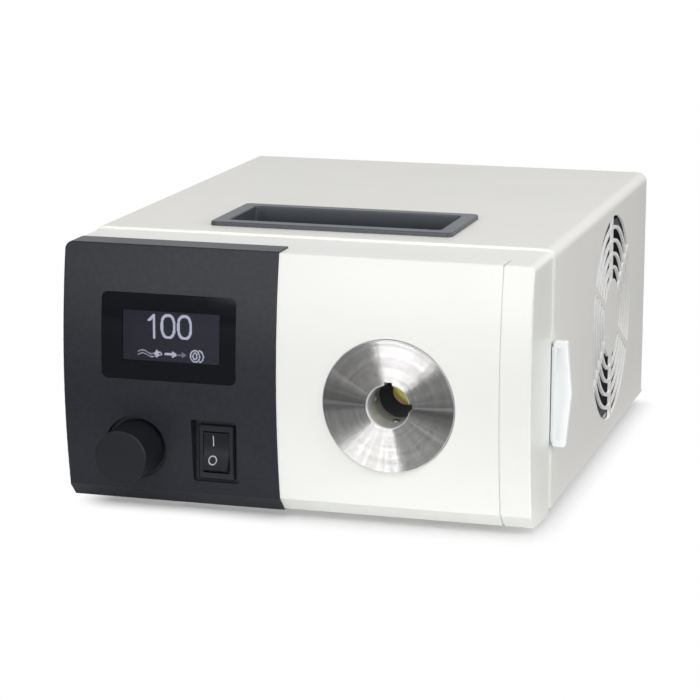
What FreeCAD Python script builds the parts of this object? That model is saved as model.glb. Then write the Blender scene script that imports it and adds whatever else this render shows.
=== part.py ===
"""Fibre optic illuminator: a bench light source with a keyed light-guide port.

Millimetres. X runs to the right seen from the front, Y runs from the front to the rear, Z is up.
The pieces are built from the housing's own datum (X = 0 on its centre plane, Y = 0 at the ends of
the bowed front face, Z = 0 at the front moulding's lower edge). place() then moves every piece so
that the origin is the bottom centre of the box around the whole object.
"""
import FreeCAD
import Part
import math
import os

V = FreeCAD.Vector
AX = V(1, 0, 0)
AY = V(0, 1, 0)
AZ = V(0, 0, 1)

# ---- Sheet-metal cover ------------------------------------------------------------------------
COVER_WIDTH = 211.0
COVER_LENGTH = 233.0
COVER_FRONT = 37.5  # from the datum to the cover's front edge
COVER_TOP = 115.8
COVER_BOTTOM = 0.7
COVER_SHEET = 1.2
COVER_BEND = 4.5
COVER_REAR_BEND = 2.0  # round its rear edge
COVER_LIP = 10.0  # inward lip along each lower edge
REAR_LIP = 8.0  # inward lip round the rear opening
LIP_SCREWS_FROM_FRONT = (42.0, 116.5, 191.0)
REAR_SCREW_HEIGHTS = (28.0, 69.0)
REAR_SCREW_SPREAD = 122.0  # between the two screws in the upper lip
INLET_SLOT_LENGTH = 34.0
INLET_SLOT_WIDTH = 3.2
INLET_SLOT_PITCH = 8.0
INLET_SLOT_ROWS = 9
INLET_SLOT_FROM_FRONT = 40.0

# ---- Grille pressed into the cover's right side, and the fan behind it --------------------------
FAN_FROM_FRONT = 139.5  # cover's front edge to the fan's axis
FAN_HEIGHT = 58.3
GRILLE_RINGS = 5
GRILLE_HUB_RADIUS = 18.9
GRILLE_SLOT = 4.9
GRILLE_BAR = 1.55
GRILLE_SPOKES = 6
GRILLE_SPOKE_WIDTH = 3.4
GRILLE_SPOKE_TURN = 3.0  # degrees past upright
FAN_SIZE = 92.0
FAN_DEPTH = 25.0
FAN_HOLE_SPACING = 82.5
FAN_FLANGE = 4.0
FAN_BORE_RADIUS = 44.0
FAN_TIP_GAP = 1.0
FAN_HUB_RADIUS = 17.5
FAN_HUB_WALL = 1.6
FAN_BLADES = 7
FAN_BLADE_SHEET = 1.6
FAN_SHAFT_RADIUS = 1.5
FAN_COVER_GAP = 0.5
FAN_CORNER = 4.0
FAN_HOLE_RADIUS = 2.2
FAN_SEAT = 2.5  # thickness of the motor's seat and of the arms that carry it
FAN_ARMS = 4
FAN_ARM_WIDTH = 4.0
FAN_ARM_TURN = 20.0
FAN_STEM_RADIUS = 3.5
FAN_STEM_LENGTH = 17.0
FAN_MOTOR_RADIUS = 13.0
FAN_MOTOR_LENGTH = 12.0
FAN_MOTOR_SLOT = 2.4
FAN_MOTOR_SLOT_DEPTH = 5.0
FAN_AIR_GAP = 0.5  # seat to hub, and hub's face inside the frame's right face times four
FAN_BLADE_CHORD = 18.0
FAN_BLADE_PITCH_ROOT = 62.0
FAN_BLADE_PITCH_TIP = 40.0
FAN_HUB_EDGE = 1.5
FAN_BRACKET_SHEET = 1.5
FAN_BRACKET_MARGIN = 2.0
FAN_BRACKET_FOOT = 12.0

# ---- Front moulding and its two panels -----------------------------------------------------------
SIDE_STEP = 0.8  # how far the cover's sides stand proud of the moulding
TOP_STEP = 1.1
FRONT_BULGE = 5.3
CHIN_HEIGHT = 6.2
CHIN_DEPTH = 6.3
SKIRT_DROP = 2.2
SKIRT_RUNOUT = 3.5  # length over which the skirt runs back up to the cover
MOULDING_WALL = 4.0
MOULDING_CORNER = 3.0
MOULDING_EDGE = 0.7
SPIGOT_LENGTH = 8.0
SPIGOT_GAP = 0.3
SPIGOT_WALL = 2.4
PANEL_SHEET = 2.2
PANEL_WRAP = 13.0
PANEL_SEAM = 0.12
CONTROL_TO_PORT = 50.1  # seam between the panels to the port's axis
CONTROL_PROUD = 0.7
CONTROL_LEDGE = 7.0
CORNER_STRIP = 12.6
GROOVE_WIDTH = 1.0
GROOVE_DEPTH = 0.7
BOSS_RADIUS = 4.5
BOSS_INSET = 11.0  # from the cover's side and top to a boss's axis
BOSS_LOW = 14.0

# ---- Display -----------------------------------------------------------------------------------
WINDOW_SHIFT = 0.05  # its centre to the right of the control panel's
WINDOW_HEIGHT = 75.6
WINDOW_WIDTH = 61.5
WINDOW_TALL = 38.0
WINDOW_CORNER = 2.8
WINDOW_SHEET = 1.2
WINDOW_SUNK = 0.2
WINDOW_LEDGE = 2.5
WINDOW_GAP = 0.1
DISPLAY_WIDTH = 52.0
DISPLAY_TALL = 28.0
DISPLAY_GLASS = 2.0
DISPLAY_SETBACK = 1.0  # datum to the display's front face
DISPLAY_BOARD_MARGIN = 3.5
DISPLAY_POST_RADIUS = 2.0

# ---- Knob and encoder ----------------------------------------------------------------------------
KNOB_SHIFT = 16.05  # its axis to the left of the control panel's centre
KNOB_HEIGHT = 25.5
KNOB_RADIUS = 12.3
KNOB_TAPER = 0.5
KNOB_FRONT = 24.0  # how far its face stands in front of the datum
KNOB_EDGE = 0.8
KNOB_RECESS_RADIUS = 14.2
KNOB_RECESS_FLOOR = 1.2  # in front of the datum
KNOB_LIFT = 1.1  # gap between the knob's rim and the recess floor
KNOB_HOLLOW_RADIUS = 8.6
KNOB_HOLLOW_DEPTH = 5.0
KNOB_PRESS = 0.5
KNOB_SCREW_RADIUS = 1.5
KNOB_SCREW_LENGTH = 6.0
ENCODER_SIZE = 13.2
ENCODER_DEPTH = 7.0
ENCODER_WALL = 0.9
ENCODER_CAVITY_RADIUS = 5.6
ENCODER_WHEEL_RADIUS = 5.0
ENCODER_WHEEL_SHEET = 2.0
ENCODER_WHEEL_TEETH = 12
ENCODER_WHEEL_GAP = 1.1
ENCODER_COLLAR_RADIUS = 5.0
SHAFT_RADIUS = 3.0
SHAFT_CLEARANCE = 0.05
SHAFT_GRIP = 10.0  # length of shaft held in the knob
SHAFT_END_GAP = 0.5
BUSH_RADIUS = 3.5
BUSH_CLEARANCE = 0.15
BUSH_PROUD = 0.6
NUT_FLATS = 10.0
NUT_SHEET = 2.0

# ---- Control board -------------------------------------------------------------------------------
BOARD_FRONT = 14.0
BOARD_SHEET = 1.6
BOARD_MARGIN = 8.0
CHIPS = 3
CHIP_SIZE = (12.0, 1.6, 8.0)
CHIP_PITCH = 15.0
CHIP_FROM_LEFT = 20.0
CHIP_FROM_LOW = 44.0

# ---- Rocker switch -------------------------------------------------------------------------------
SWITCH_SHIFT = 20.35  # its centre to the right of the control panel's
SWITCH_HEIGHT = 25.05
POCKET_WIDTH = 20.8
POCKET_TALL = 28.4
POCKET_RISE = 0.75  # the pocket's centre above the switch's
POCKET_FLOOR = 0.6
POCKET_WALL = 2.0
POCKET_GAP = 0.5
POCKET_CORNER = 1.0
BEZEL_WIDTH = 16.4
BEZEL_TALL = 24.8
BEZEL_SHEET = 2.2
BEZEL_CHAMFER = 0.6
SWITCH_BODY_WIDTH = 13.8
SWITCH_BODY_TALL = 21.6
SWITCH_BODY_DEPTH = 20.0
SWITCH_BASE = 4.0
ROCKER_WIDTH = 11.5
ROCKER_TALL = 16.0  # between the ends of its face
ROCKER_GAP = 0.25
ROCKER_TILT = 10.0  # degrees each side of level
ROCKER_PIVOT_DEPTH = 2.6  # behind the bezel's front
ROCKER_BACK = 4.0  # behind the pivot
ROCKER_DISH = 0.5
ROCKER_EDGE = 0.5
ROCKER_PIVOT_RADIUS = 1.2
ROCKER_PIVOT_CLEARANCE = 0.08
ROCKER_PROUD = 0.3  # the pressed end above the bezel
TERMINAL_WIDTH = 4.8
TERMINAL_SHEET = 0.8
TERMINAL_LENGTH = 9.0
TERMINAL_PITCH = 7.0

# ---- Light-guide port ----------------------------------------------------------------------------
PORT_FROM_RIGHT = 62.4
PORT_HEIGHT = 51.85
PORT_FACE = 6.0  # how far the flange's face stands in front of the datum
FLANGE_RADIUS = 29.0
FLANGE_SHEET = 4.0
FLANGE_EDGE = 0.4
FLANGE_GAP = 0.25
FLANGE_SCREW_CIRCLE = 24.3
FLANGE_SCREWS = 3
SOCKET_RADIUS = 19.5
SOCKET_LENGTH = 24.0
SOCKET_CLEARANCE = 0.3
PORT_BORE_RADIUS = 9.25
PORT_BORE_LENGTH = 12.0  # close-fitting length, from the flange's face
PORT_RELIEF = 0.25  # the bore is this much wider past it
PORT_MOUTH_CHAMFER = 0.6
PORT_KEY_WIDTH = 3.6
PORT_KEY_DEPTH = 1.5
PORT_BOSS_LENGTH = 8.0
BAFFLE_SPIGOT_RADIUS = 16.0
BAFFLE_SPIGOT = 3.0
BAFFLE_LENGTH = 18.0
BAFFLE_APERTURE = 6.0
BAFFLE_APERTURE_DEPTH = 10.0
BAFFLE_EXIT_RADIUS = 14.0
BAFFLE_GAP = 0.05
DETENT_DEPTH = 14.5  # flange face to the balls' centres
DETENT_BALL_RADIUS = 2.0
DETENT_STANDS_IN = 0.8
DETENT_HOLE_GAP = 0.08
DETENT_SPRING_LENGTH = 3.4
DETENT_WIRE = 0.5
DETENT_SPRING_GAP = 0.2
DETENT_SPRING_TURNS = 3

# ---- Filter drawer -------------------------------------------------------------------------------
DRAWER_SETBACK = 1.1  # cover's front edge to the drawer's front face
DRAWER_SHEET = 4.0
DRAWER_TALL = 45.0
DRAWER_TAIL = 38.0  # how far it reaches past the light's axis
DRAWER_GAP = 0.2
GUIDE_RAIL = 5.0
GUIDE_LIP = 2.5
GUIDE_LIP_SHEET = 0.9
FILTER_RADIUS = 15.0
FILTER_SHEET = 2.0
FILTER_SEAT = 1.5
FILTER_GAP = 0.1
GRIP_LEAD = 3.4  # how far the grip stands in front of the drawer's plate
GRIP_HEIGHT = 52.4  # centre of the grip
GRIP_TALL = 47.0
GRIP_END = 6.3  # how far its ends stand out from the cover
GRIP_MIDDLE = 8.5
GRIP_SHEET = 4.0
GRIP_RIM = 1.2
GRIP_END_RIM = 3.0
GRIP_SCOOP = 1.4
GRIP_COVER_GAP = 0.4
GRIP_LIP = 1.2  # thickness of the lip that closes the seam beside the moulding
GRIP_CORNER = 1.2
GRIP_EDGE = 0.4
GRIP_NECK = 42.0

# ---- Lamp: lenses, chip and heat sink ------------------------------------------------------------
BULKHEAD_SETBACK = 10.5  # cover's front edge to the bulkhead
BULKHEAD_SHEET = 1.5
BULKHEAD_FLANGE = 10.0
TRAY_SCREW_SPREAD = 95.0
BARREL_LENGTH = 30.5
BARREL_RADIUS = 21.0
BARREL_FLANGE_RADIUS = 31.0
BARREL_FLANGE_SHEET = 3.0
LENS_RADIUS = 17.0
LENS_EDGE = 2.5
LENS_DOME = 6.0
LENS_GAP = 0.1
LENS_RING_SHEET = 1.5
LENS_RING_WIDTH = 2.0
LENS_SPACER = 1.0  # gap between the two domes
LENS_SPACER_WALL = 0.8
BARREL_LEDGE = 2.0
BARREL_SCREWS = 4
LAMP_BOARD_RADIUS = 21.5
LAMP_BOARD_SHEET = 1.6
LAMP_CHIP_RADIUS = 6.5
LAMP_CHIP_SHEET = 1.0
LAMP_CHIP_MARGIN = 1.5
LAMP_DOME = 0.8
SINK_WIDTH = 66.0
SINK_TALL = 64.0
SINK_BASE = 6.0
SINK_FIN_LENGTH = 40.0
SINK_FINS = 12
SINK_FIN_SHEET = 1.6
SINK_ANGLE_SHEET = 3.0
SINK_ANGLE_TALL = 13.0
SINK_ANGLE_DEPTH = 20.0
SINK_ANGLE_WIDTH = 50.0
SINK_ANGLE_SCREW_PITCH = 36.0

# ---- Chassis -------------------------------------------------------------------------------------
TRAY_SHEET = 1.6
TRAY_FLANGE = 8.0
TRAY_SIDE_GAP = 0.4
REAR_SHEET = 1.5
REAR_FLANGE = 12.0
FOOT_RADIUS = 9.0
FOOT_EDGE = 1.0
FOOT_TOP_RADIUS = 8.3
FOOT_GAP = 4.0  # air between the moulding's lower edge and the table
FOOT_INSET_X = 23.5
FOOT_INSET_FRONT = 25.0
FOOT_INSET_REAR = 22.0
FOOT_RECESS_RADIUS = 4.2
FOOT_RECESS = 3.0
SCREW_RADIUS = 1.5
SCREW_HEAD_RADIUS = 2.8
SCREW_HEAD = 1.7
SCREW_SOCKET = 1.0
SCREW_SOCKET_FLATS = 2.1
SCREW_CLEARANCE = 0.05
COVER_SCREW_LENGTH = 7.0
TRAY_SCREW_LENGTH = 7.0
BULKHEAD_SCREW_LENGTH = 12.0
FOOT_SCREW_LENGTH = 6.0

# ---- Carry handle let into the top ---------------------------------------------------------------
HANDLE_FROM_FRONT = 41.6
HANDLE_SHIFT = -0.2  # its centre from the housing's centre plane
HANDLE_LENGTH = 112.2
HANDLE_WIDTH = 54.0
HANDLE_RIM = 2.0
HANDLE_EDGE = 0.7
HANDLE_CORNER = 3.0
HANDLE_END_MARGIN = 6.7  # rim to mouth at each end
HANDLE_SIDE_MARGIN = 7.0
HANDLE_DEPTH = 28.0
HANDLE_HOOK = 9.0  # height of the edge that the fingers hook under
HANDLE_UNDERCUT = 3.5
HANDLE_WALL = 2.0
HANDLE_CUTOUT_GAP = 0.2

# ---- Mains side ----------------------------------------------------------------------------------
INLET_FROM_LEFT = 44.0
INLET_HEIGHT = 48.0
INLET_FLANGE_WIDTH = 50.0
INLET_FLANGE_TALL = 36.0
INLET_FLANGE_SHEET = 3.0
INLET_BODY_WIDTH = 29.0
INLET_BODY_TALL = 33.0
INLET_BODY_DEPTH = 22.0
INLET_BODY_GAP = 0.25
INLET_FLANGE_CORNER = 5.0
INLET_SCREW_LENGTH = 8.0
INLET_SOCKET_WIDTH = 24.4
INLET_SOCKET_TALL = 16.4
INLET_SOCKET_DEPTH = 16.0
INLET_SOCKET_CHAMFER = 4.0
INLET_SOCKET_RISE = 6.0
INLET_PIN_WIDTH = 2.0
INLET_PIN_TALL = 4.0
INLET_PIN_PITCH = 7.0
INLET_PIN_LENGTH = 13.0  # standing in the socket
INLET_PIN_ROOT = 8.0  # held in the moulding and standing out behind it
INLET_SCREW_PITCH = 20.0
INLET_EARTH_RISE = 2.5
FUSE_DRAWER_WIDTH = 22.0
FUSE_DRAWER_TALL = 8.4
FUSE_DRAWER_DROP = 9.5
FUSE_DRAWER_DEPTH = 20.0
FUSE_DRAWER_LIP = 1.5
FUSE_DRAWER_LIP_WIDTH = 11.0
FUSE_DRAWER_LIP_DEPTH = 1.0
FUSE_DRAWER_GAP = 0.15
FUSE_RADIUS = 2.5
FUSE_LENGTH = 15.0
FUSE_SPREAD = 11.0
FUSE_END_GAP = 0.2
FUSE_END_WALL = 1.5
SUPPLY_LENGTH = 105.0
SUPPLY_WIDTH = 76.0
SUPPLY_FROM_LEFT = 15.0
SUPPLY_FROM_REAR = 34.0
SUPPLY_RISE = 8.0
SUPPLY_HOLE_INSET = 5.0
STANDOFF_RADIUS = 2.75
STANDOFF_THREAD = 3.4
TRANSFORMER = (38.0, 34.0, 28.0)
TRANSFORMER_CORE = 17.0
TRANSFORMER_WINDING = (27.0, 19.0)
TRANSFORMER_CORNER = 5.5
CAPACITOR_RADIUS = 9.0
CAPACITOR_TALL = 26.0
CAPACITORS = 3
CAPACITOR_PITCH = 20.0
CAPACITOR_FROM_EDGE = 21.0
CAPACITOR_EDGE = 1.0
DRIVER_FROM_LEFT = 35.3
DRIVER_LENGTH = 50.0
DRIVER_WIDTH = 62.0
DRIVER_GAP = 4.0
COIL_RADIUS = 11.0
COIL_HOLE = 4.4
COIL_TALL = 9.9

# ---- Places that follow from the sizes above -----------------------------------------------------
cover_side = COVER_WIDTH / 2
cover_rear = COVER_FRONT + COVER_LENGTH
inner_side = cover_side - COVER_SHEET
inner_top = COVER_TOP - COVER_SHEET
moulding_side = cover_side - SIDE_STEP
moulding_top = COVER_TOP - TOP_STEP
port_x = cover_side - PORT_FROM_RIGHT
split_x = port_x - CONTROL_TO_PORT
strip_x = moulding_side - CORNER_STRIP
control_middle = (split_x - moulding_side) / 2
window_x = control_middle + WINDOW_SHIFT
knob_x = control_middle - KNOB_SHIFT
switch_x = control_middle + SWITCH_SHIFT
flange_seat = FLANGE_SHEET - PORT_FACE
socket_end = SOCKET_LENGTH - PORT_FACE
baffle_front = socket_end - BAFFLE_SPIGOT
drawer_front = COVER_FRONT + DRAWER_SETBACK
drawer_back = drawer_front + DRAWER_SHEET
bulkhead_front = COVER_FRONT + BULKHEAD_SETBACK
bulkhead_back = bulkhead_front + BULKHEAD_SHEET
sink_front = bulkhead_back + BARREL_LENGTH
tray_bottom = COVER_BOTTOM + COVER_SHEET
tray_top = tray_bottom + TRAY_SHEET
rear_back = cover_rear - COVER_SHEET
rear_front = rear_back - REAR_SHEET
fan_y = COVER_FRONT + FAN_FROM_FRONT
fan_right = inner_side - FAN_COVER_GAP
fan_left = fan_right - FAN_DEPTH
grille_radius = GRILLE_HUB_RADIUS + GRILLE_RINGS * (GRILLE_SLOT + GRILLE_BAR) - GRILLE_BAR
handle_x = HANDLE_SHIFT
handle_y = COVER_FRONT + HANDLE_FROM_FRONT
handle_floor = COVER_TOP - HANDLE_DEPTH
mouth_length = HANDLE_LENGTH - 2 * HANDLE_END_MARGIN
mouth_width = HANDLE_WIDTH - 2 * HANDLE_SIDE_MARGIN
grip_outer = cover_side + GRIP_MIDDLE
knob_face = -KNOB_FRONT
knob_pad_back = POCKET_WALL - KNOB_RECESS_FLOOR
table = -FOOT_GAP
inlet_x = INLET_FROM_LEFT - cover_side
inlet_back = rear_back + INLET_FLANGE_SHEET
drawer_left = port_x - DRAWER_TAIL
drawer_low = PORT_HEIGHT - DRAWER_TALL / 2
drawer_high = PORT_HEIGHT + DRAWER_TALL / 2
origin = V((grip_outer - cover_side) / 2, (knob_face + inlet_back + SCREW_HEAD) / 2, table)


# ---- Small helpers -------------------------------------------------------------------------------
def block(x, y, z):
    """A box between the low and high value of each axis."""
    return Part.makeBox(x[1] - x[0], y[1] - y[0], z[1] - z[0], V(x[0], y[0], z[0]))


def centred_block(centre, size):
    return Part.makeBox(*size, centre - V(*size) * 0.5)


def rod(at, axis, radius, length):
    return Part.makeCylinder(radius, length, at, axis)


def tube(at, axis, outer, inner, length):
    return rod(at, axis, outer, length).cut(rod(at, axis, inner, length))


def joined(first, *others):
    return first.fuse(list(others)).removeSplitter()


def edges_near(shape, test):
    """The shape's edges whose middle point passes the test."""
    found = []
    for edge in shape.Edges:
        middle = edge.valueAt((edge.FirstParameter + edge.LastParameter) / 2)
        if test(edge, middle):
            found.append(edge)
    return found


def runs_along(edge, axis):
    start, end = edge.Vertexes[0].Point, edge.Vertexes[-1].Point
    run = end - start
    return run.Length > 0 and abs(run.dot(axis)) > 0.999 * run.Length


def rounded_block(x, y, z, axis, radius):
    """A box whose four edges along one axis are rounded."""
    body = block(x, y, z)
    return body.makeFillet(radius, [e for e in body.Edges if runs_along(e, axis)])


def revolved(points, at, axis, across):
    """A solid of revolution: points are (radius, distance along the axis)."""
    corners = [at + across * radius + axis * along for radius, along in points]
    face = Part.Face(Part.makePolygon(corners + [corners[0]]))
    return face.revolve(at, axis, 360)


def around(shape, at, axis, count, start=0.0):
    """Copies of a shape turned about an axis, evenly spaced."""
    copies = []
    for index in range(count):
        copy = shape.copy()
        copy.rotate(at, axis, start + index * 360.0 / count)
        copies.append(copy)
    return copies


def hexagon(at, axis, across, flats, length):
    """A hexagonal prism; across is the direction of one corner."""
    side = axis.cross(across)
    corner = flats / math.sqrt(3)
    points = []
    for index in range(7):
        angle = math.radians(60 * index)
        points.append(at + across * (corner * math.cos(angle)) + side * (corner * math.sin(angle)))
    return Part.Face(Part.makePolygon(points)).extrude(axis * length)


def screw(head_seat, direction, length):
    """A socket-head screw: head_seat is under the head, direction runs to the tip."""
    across = AX if abs(direction.x) < 0.5 else AZ
    top = head_seat - direction * SCREW_HEAD
    head = rod(top, direction, SCREW_HEAD_RADIUS, SCREW_HEAD)
    shank = rod(head_seat, direction, SCREW_RADIUS, length)
    return joined(head, shank).cut(hexagon(top, direction, across, SCREW_SOCKET_FLATS, SCREW_SOCKET))


def screw_hole(seat, direction, length):
    """The hole that a screw's shank passes, from a little before its seat."""
    return rod(seat - direction, direction, SCREW_RADIUS + SCREW_CLEARANCE, length + 1)


def group(shapes):
    return Part.makeCompound(shapes)


# ---- The bowed front profile ---------------------------------------------------------------------
def front_profile(grow):
    """The moulding's outline in the YZ plane, grown outwards by grow. Its rear end is far behind."""
    far = 3 * COVER_FRONT
    middle = (moulding_top + CHIN_HEIGHT) / 2
    bow = Part.Arc(V(0, 0, CHIN_HEIGHT), V(0, -FRONT_BULGE, middle), V(0, 0, moulding_top))
    corners = [
        V(0, 0, moulding_top),
        V(0, far, moulding_top),
        V(0, far, COVER_BOTTOM),
        V(0, COVER_FRONT, COVER_BOTTOM),
        V(0, COVER_FRONT - SKIRT_RUNOUT, -SKIRT_DROP),
        V(0, CHIN_DEPTH, 0),
        V(0, 0, CHIN_HEIGHT),
    ]
    sides = [Part.makeLine(a, b) for a, b in zip(corners, corners[1:])]
    outline = Part.Wire([bow.toShape()] + sides)
    if grow:
        outline = outline.makeOffset2D(grow, 2, False, False, True)
    return Part.Face(outline)


def front_bar(grow, x0, x1):
    """The front profile as a bar between two X values, with sharp edges."""
    face = front_profile(grow)
    face.translate(V(x0, 0, 0))
    return face.extrude(AX * (x1 - x0))


def moulding_body(grow):
    """The moulding's whole outer form, grown by grow, with its long corners and front edges rounded."""
    side = moulding_side + grow
    body = front_bar(grow, -side, side)
    corner = MOULDING_CORNER + grow

    def long_corner(edge, middle):
        return runs_along(edge, AY) and middle.z > COVER_TOP / 2

    body = body.makeFillet(corner, edges_near(body, long_corner))
    if grow < 0:
        return body

    def front_edge(edge, middle):
        on_face = middle.y < FRONT_BULGE * 0.2 and middle.z > CHIN_HEIGHT * 1.5
        return on_face and not runs_along(edge, AY)

    return body.makeFillet(MOULDING_EDGE, edges_near(body, front_edge))


def behind(y0, x0=-COVER_WIDTH, x1=COVER_WIDTH):
    """Everything behind a plane, between two X values."""
    return block((x0, x1), (y0, 4 * COVER_FRONT), (-COVER_TOP, 2 * COVER_TOP))


def in_front(y1, x0=-COVER_WIDTH, x1=COVER_WIDTH):
    """Everything in front of a plane, between two X values."""
    return block((x0, x1), (-2 * KNOB_FRONT, y1), (-COVER_TOP, 2 * COVER_TOP))


# ---- Housing -------------------------------------------------------------------------------------
def fan_centre(x):
    return V(x, fan_y, FAN_HEIGHT)


def grille_slots():
    """Rings of slots with radial bars left between them, as one cutter."""
    start = inner_side - COVER_SHEET
    depth = 3 * COVER_SHEET
    rings = []
    for index in range(GRILLE_RINGS):
        inner = GRILLE_HUB_RADIUS + index * (GRILLE_SLOT + GRILLE_BAR)
        rings.append(tube(fan_centre(start), AX, inner + GRILLE_SLOT, inner, depth))
    spoke = block(
        (start - 1, start + depth + 1),
        (fan_y - GRILLE_SPOKE_WIDTH / 2, fan_y + GRILLE_SPOKE_WIDTH / 2),
        (FAN_HEIGHT, FAN_HEIGHT + grille_radius + 1),
    )
    spokes = around(spoke, fan_centre(0), AX, GRILLE_SPOKES, GRILLE_SPOKE_TURN)
    return group(rings).cut(spokes)


def inlet_slots():
    """Rows of round-ended slots in the cover's left side, where the air comes in."""
    slots = []
    y0 = COVER_FRONT + INLET_SLOT_FROM_FRONT
    z0 = FAN_HEIGHT - (INLET_SLOT_ROWS - 1) * INLET_SLOT_PITCH / 2
    for row in range(INLET_SLOT_ROWS):
        z = z0 + row * INLET_SLOT_PITCH
        half = INLET_SLOT_WIDTH / 2
        x = (-cover_side - 1, -inner_side + 1)
        y = (y0, y0 + INLET_SLOT_LENGTH)
        slots.append(rounded_block(x, y, (z - half, z + half), AX, half * 0.98))
    return slots


def handle_block(length, width, z0, z1, corner):
    half_x, half_y = length / 2, width / 2
    x = (handle_x - half_x, handle_x + half_x)
    y = (handle_y - half_y, handle_y + half_y)
    return rounded_block(x, y, (z0, z1), AZ, corner)


handle_body_length = mouth_length + 2 * HANDLE_WALL
handle_body_width = mouth_width + 2 * (HANDLE_UNDERCUT + HANDLE_WALL)


def lip_screw_places():
    """Where the cover's lower lips are screwed to the tray, seen from below."""
    x = inner_side - COVER_LIP / 2
    return [V(s * x, COVER_FRONT + along, COVER_BOTTOM) for s in (-1, 1) for along in LIP_SCREWS_FROM_FRONT]


def rear_screw_places():
    """Where the cover's rear lip is screwed to the rear panel."""
    side = inner_side - REAR_LIP / 2
    top = inner_top - REAR_LIP / 2
    places = [V(s * side, cover_rear, z) for s in (-1, 1) for z in REAR_SCREW_HEIGHTS]
    return places + [V(s * REAR_SCREW_SPREAD / 2, cover_rear, top) for s in (-1, 1)]


def top_cover():
    y = (COVER_FRONT, cover_rear)
    outer = block((-cover_side, cover_side), y, (COVER_BOTTOM, COVER_TOP))
    inner = block((-inner_side, inner_side), (COVER_FRONT - 1, rear_back), (COVER_BOTTOM - 1, inner_top))

    def top_corner(edge, middle):
        return runs_along(edge, AY) and middle.z > COVER_TOP / 2

    def rear_edge(edge, middle):
        return middle.y > cover_rear - 0.01 and middle.z > COVER_BOTTOM + 0.01

    outer = outer.makeFillet(COVER_BEND, edges_near(outer, top_corner))
    outer = outer.makeFillet(COVER_REAR_BEND, edges_near(outer, rear_edge))
    inner = inner.makeFillet(COVER_BEND - COVER_SHEET, edges_near(inner, top_corner))
    opening_side = inner_side - REAR_LIP
    opening_top = inner_top - REAR_LIP
    rear_opening = block(
        (-opening_side, opening_side), (rear_back - 1, cover_rear + 1), (COVER_BOTTOM - 1, opening_top)
    )
    lip_z = (COVER_BOTTOM, COVER_BOTTOM + COVER_SHEET)
    lips = [block(sorted((s * cover_side, s * (inner_side - COVER_LIP))), y, lip_z) for s in (-1, 1)]
    shell = joined(outer.cut(inner).cut(rear_opening), *lips)
    notch = block(
        (inner_side - 1, cover_side + 1),
        (COVER_FRONT - 1, drawer_back + DRAWER_GAP),
        (drawer_low - DRAWER_GAP, drawer_high + DRAWER_GAP),
    )
    cutout_length = handle_body_length + 2 * HANDLE_CUTOUT_GAP
    cutout_width = handle_body_width + 2 * HANDLE_CUTOUT_GAP
    cutout = handle_block(cutout_length, cutout_width, inner_top - 1, COVER_TOP + 1, HANDLE_CORNER)
    holes = [screw_hole(p, AZ, 3 * COVER_SHEET) for p in lip_screw_places()]
    holes += [screw_hole(p, -AY, 3 * COVER_SHEET) for p in rear_screw_places()]
    return shell.cut([notch, cutout] + holes + inlet_slots()).cut(grille_slots())


def boss_places():
    x = cover_side - BOSS_INSET
    return [V(s * x, 0, z) for s in (-1, 1) for z in (BOSS_LOW, COVER_TOP - BOSS_INSET)]


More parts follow.
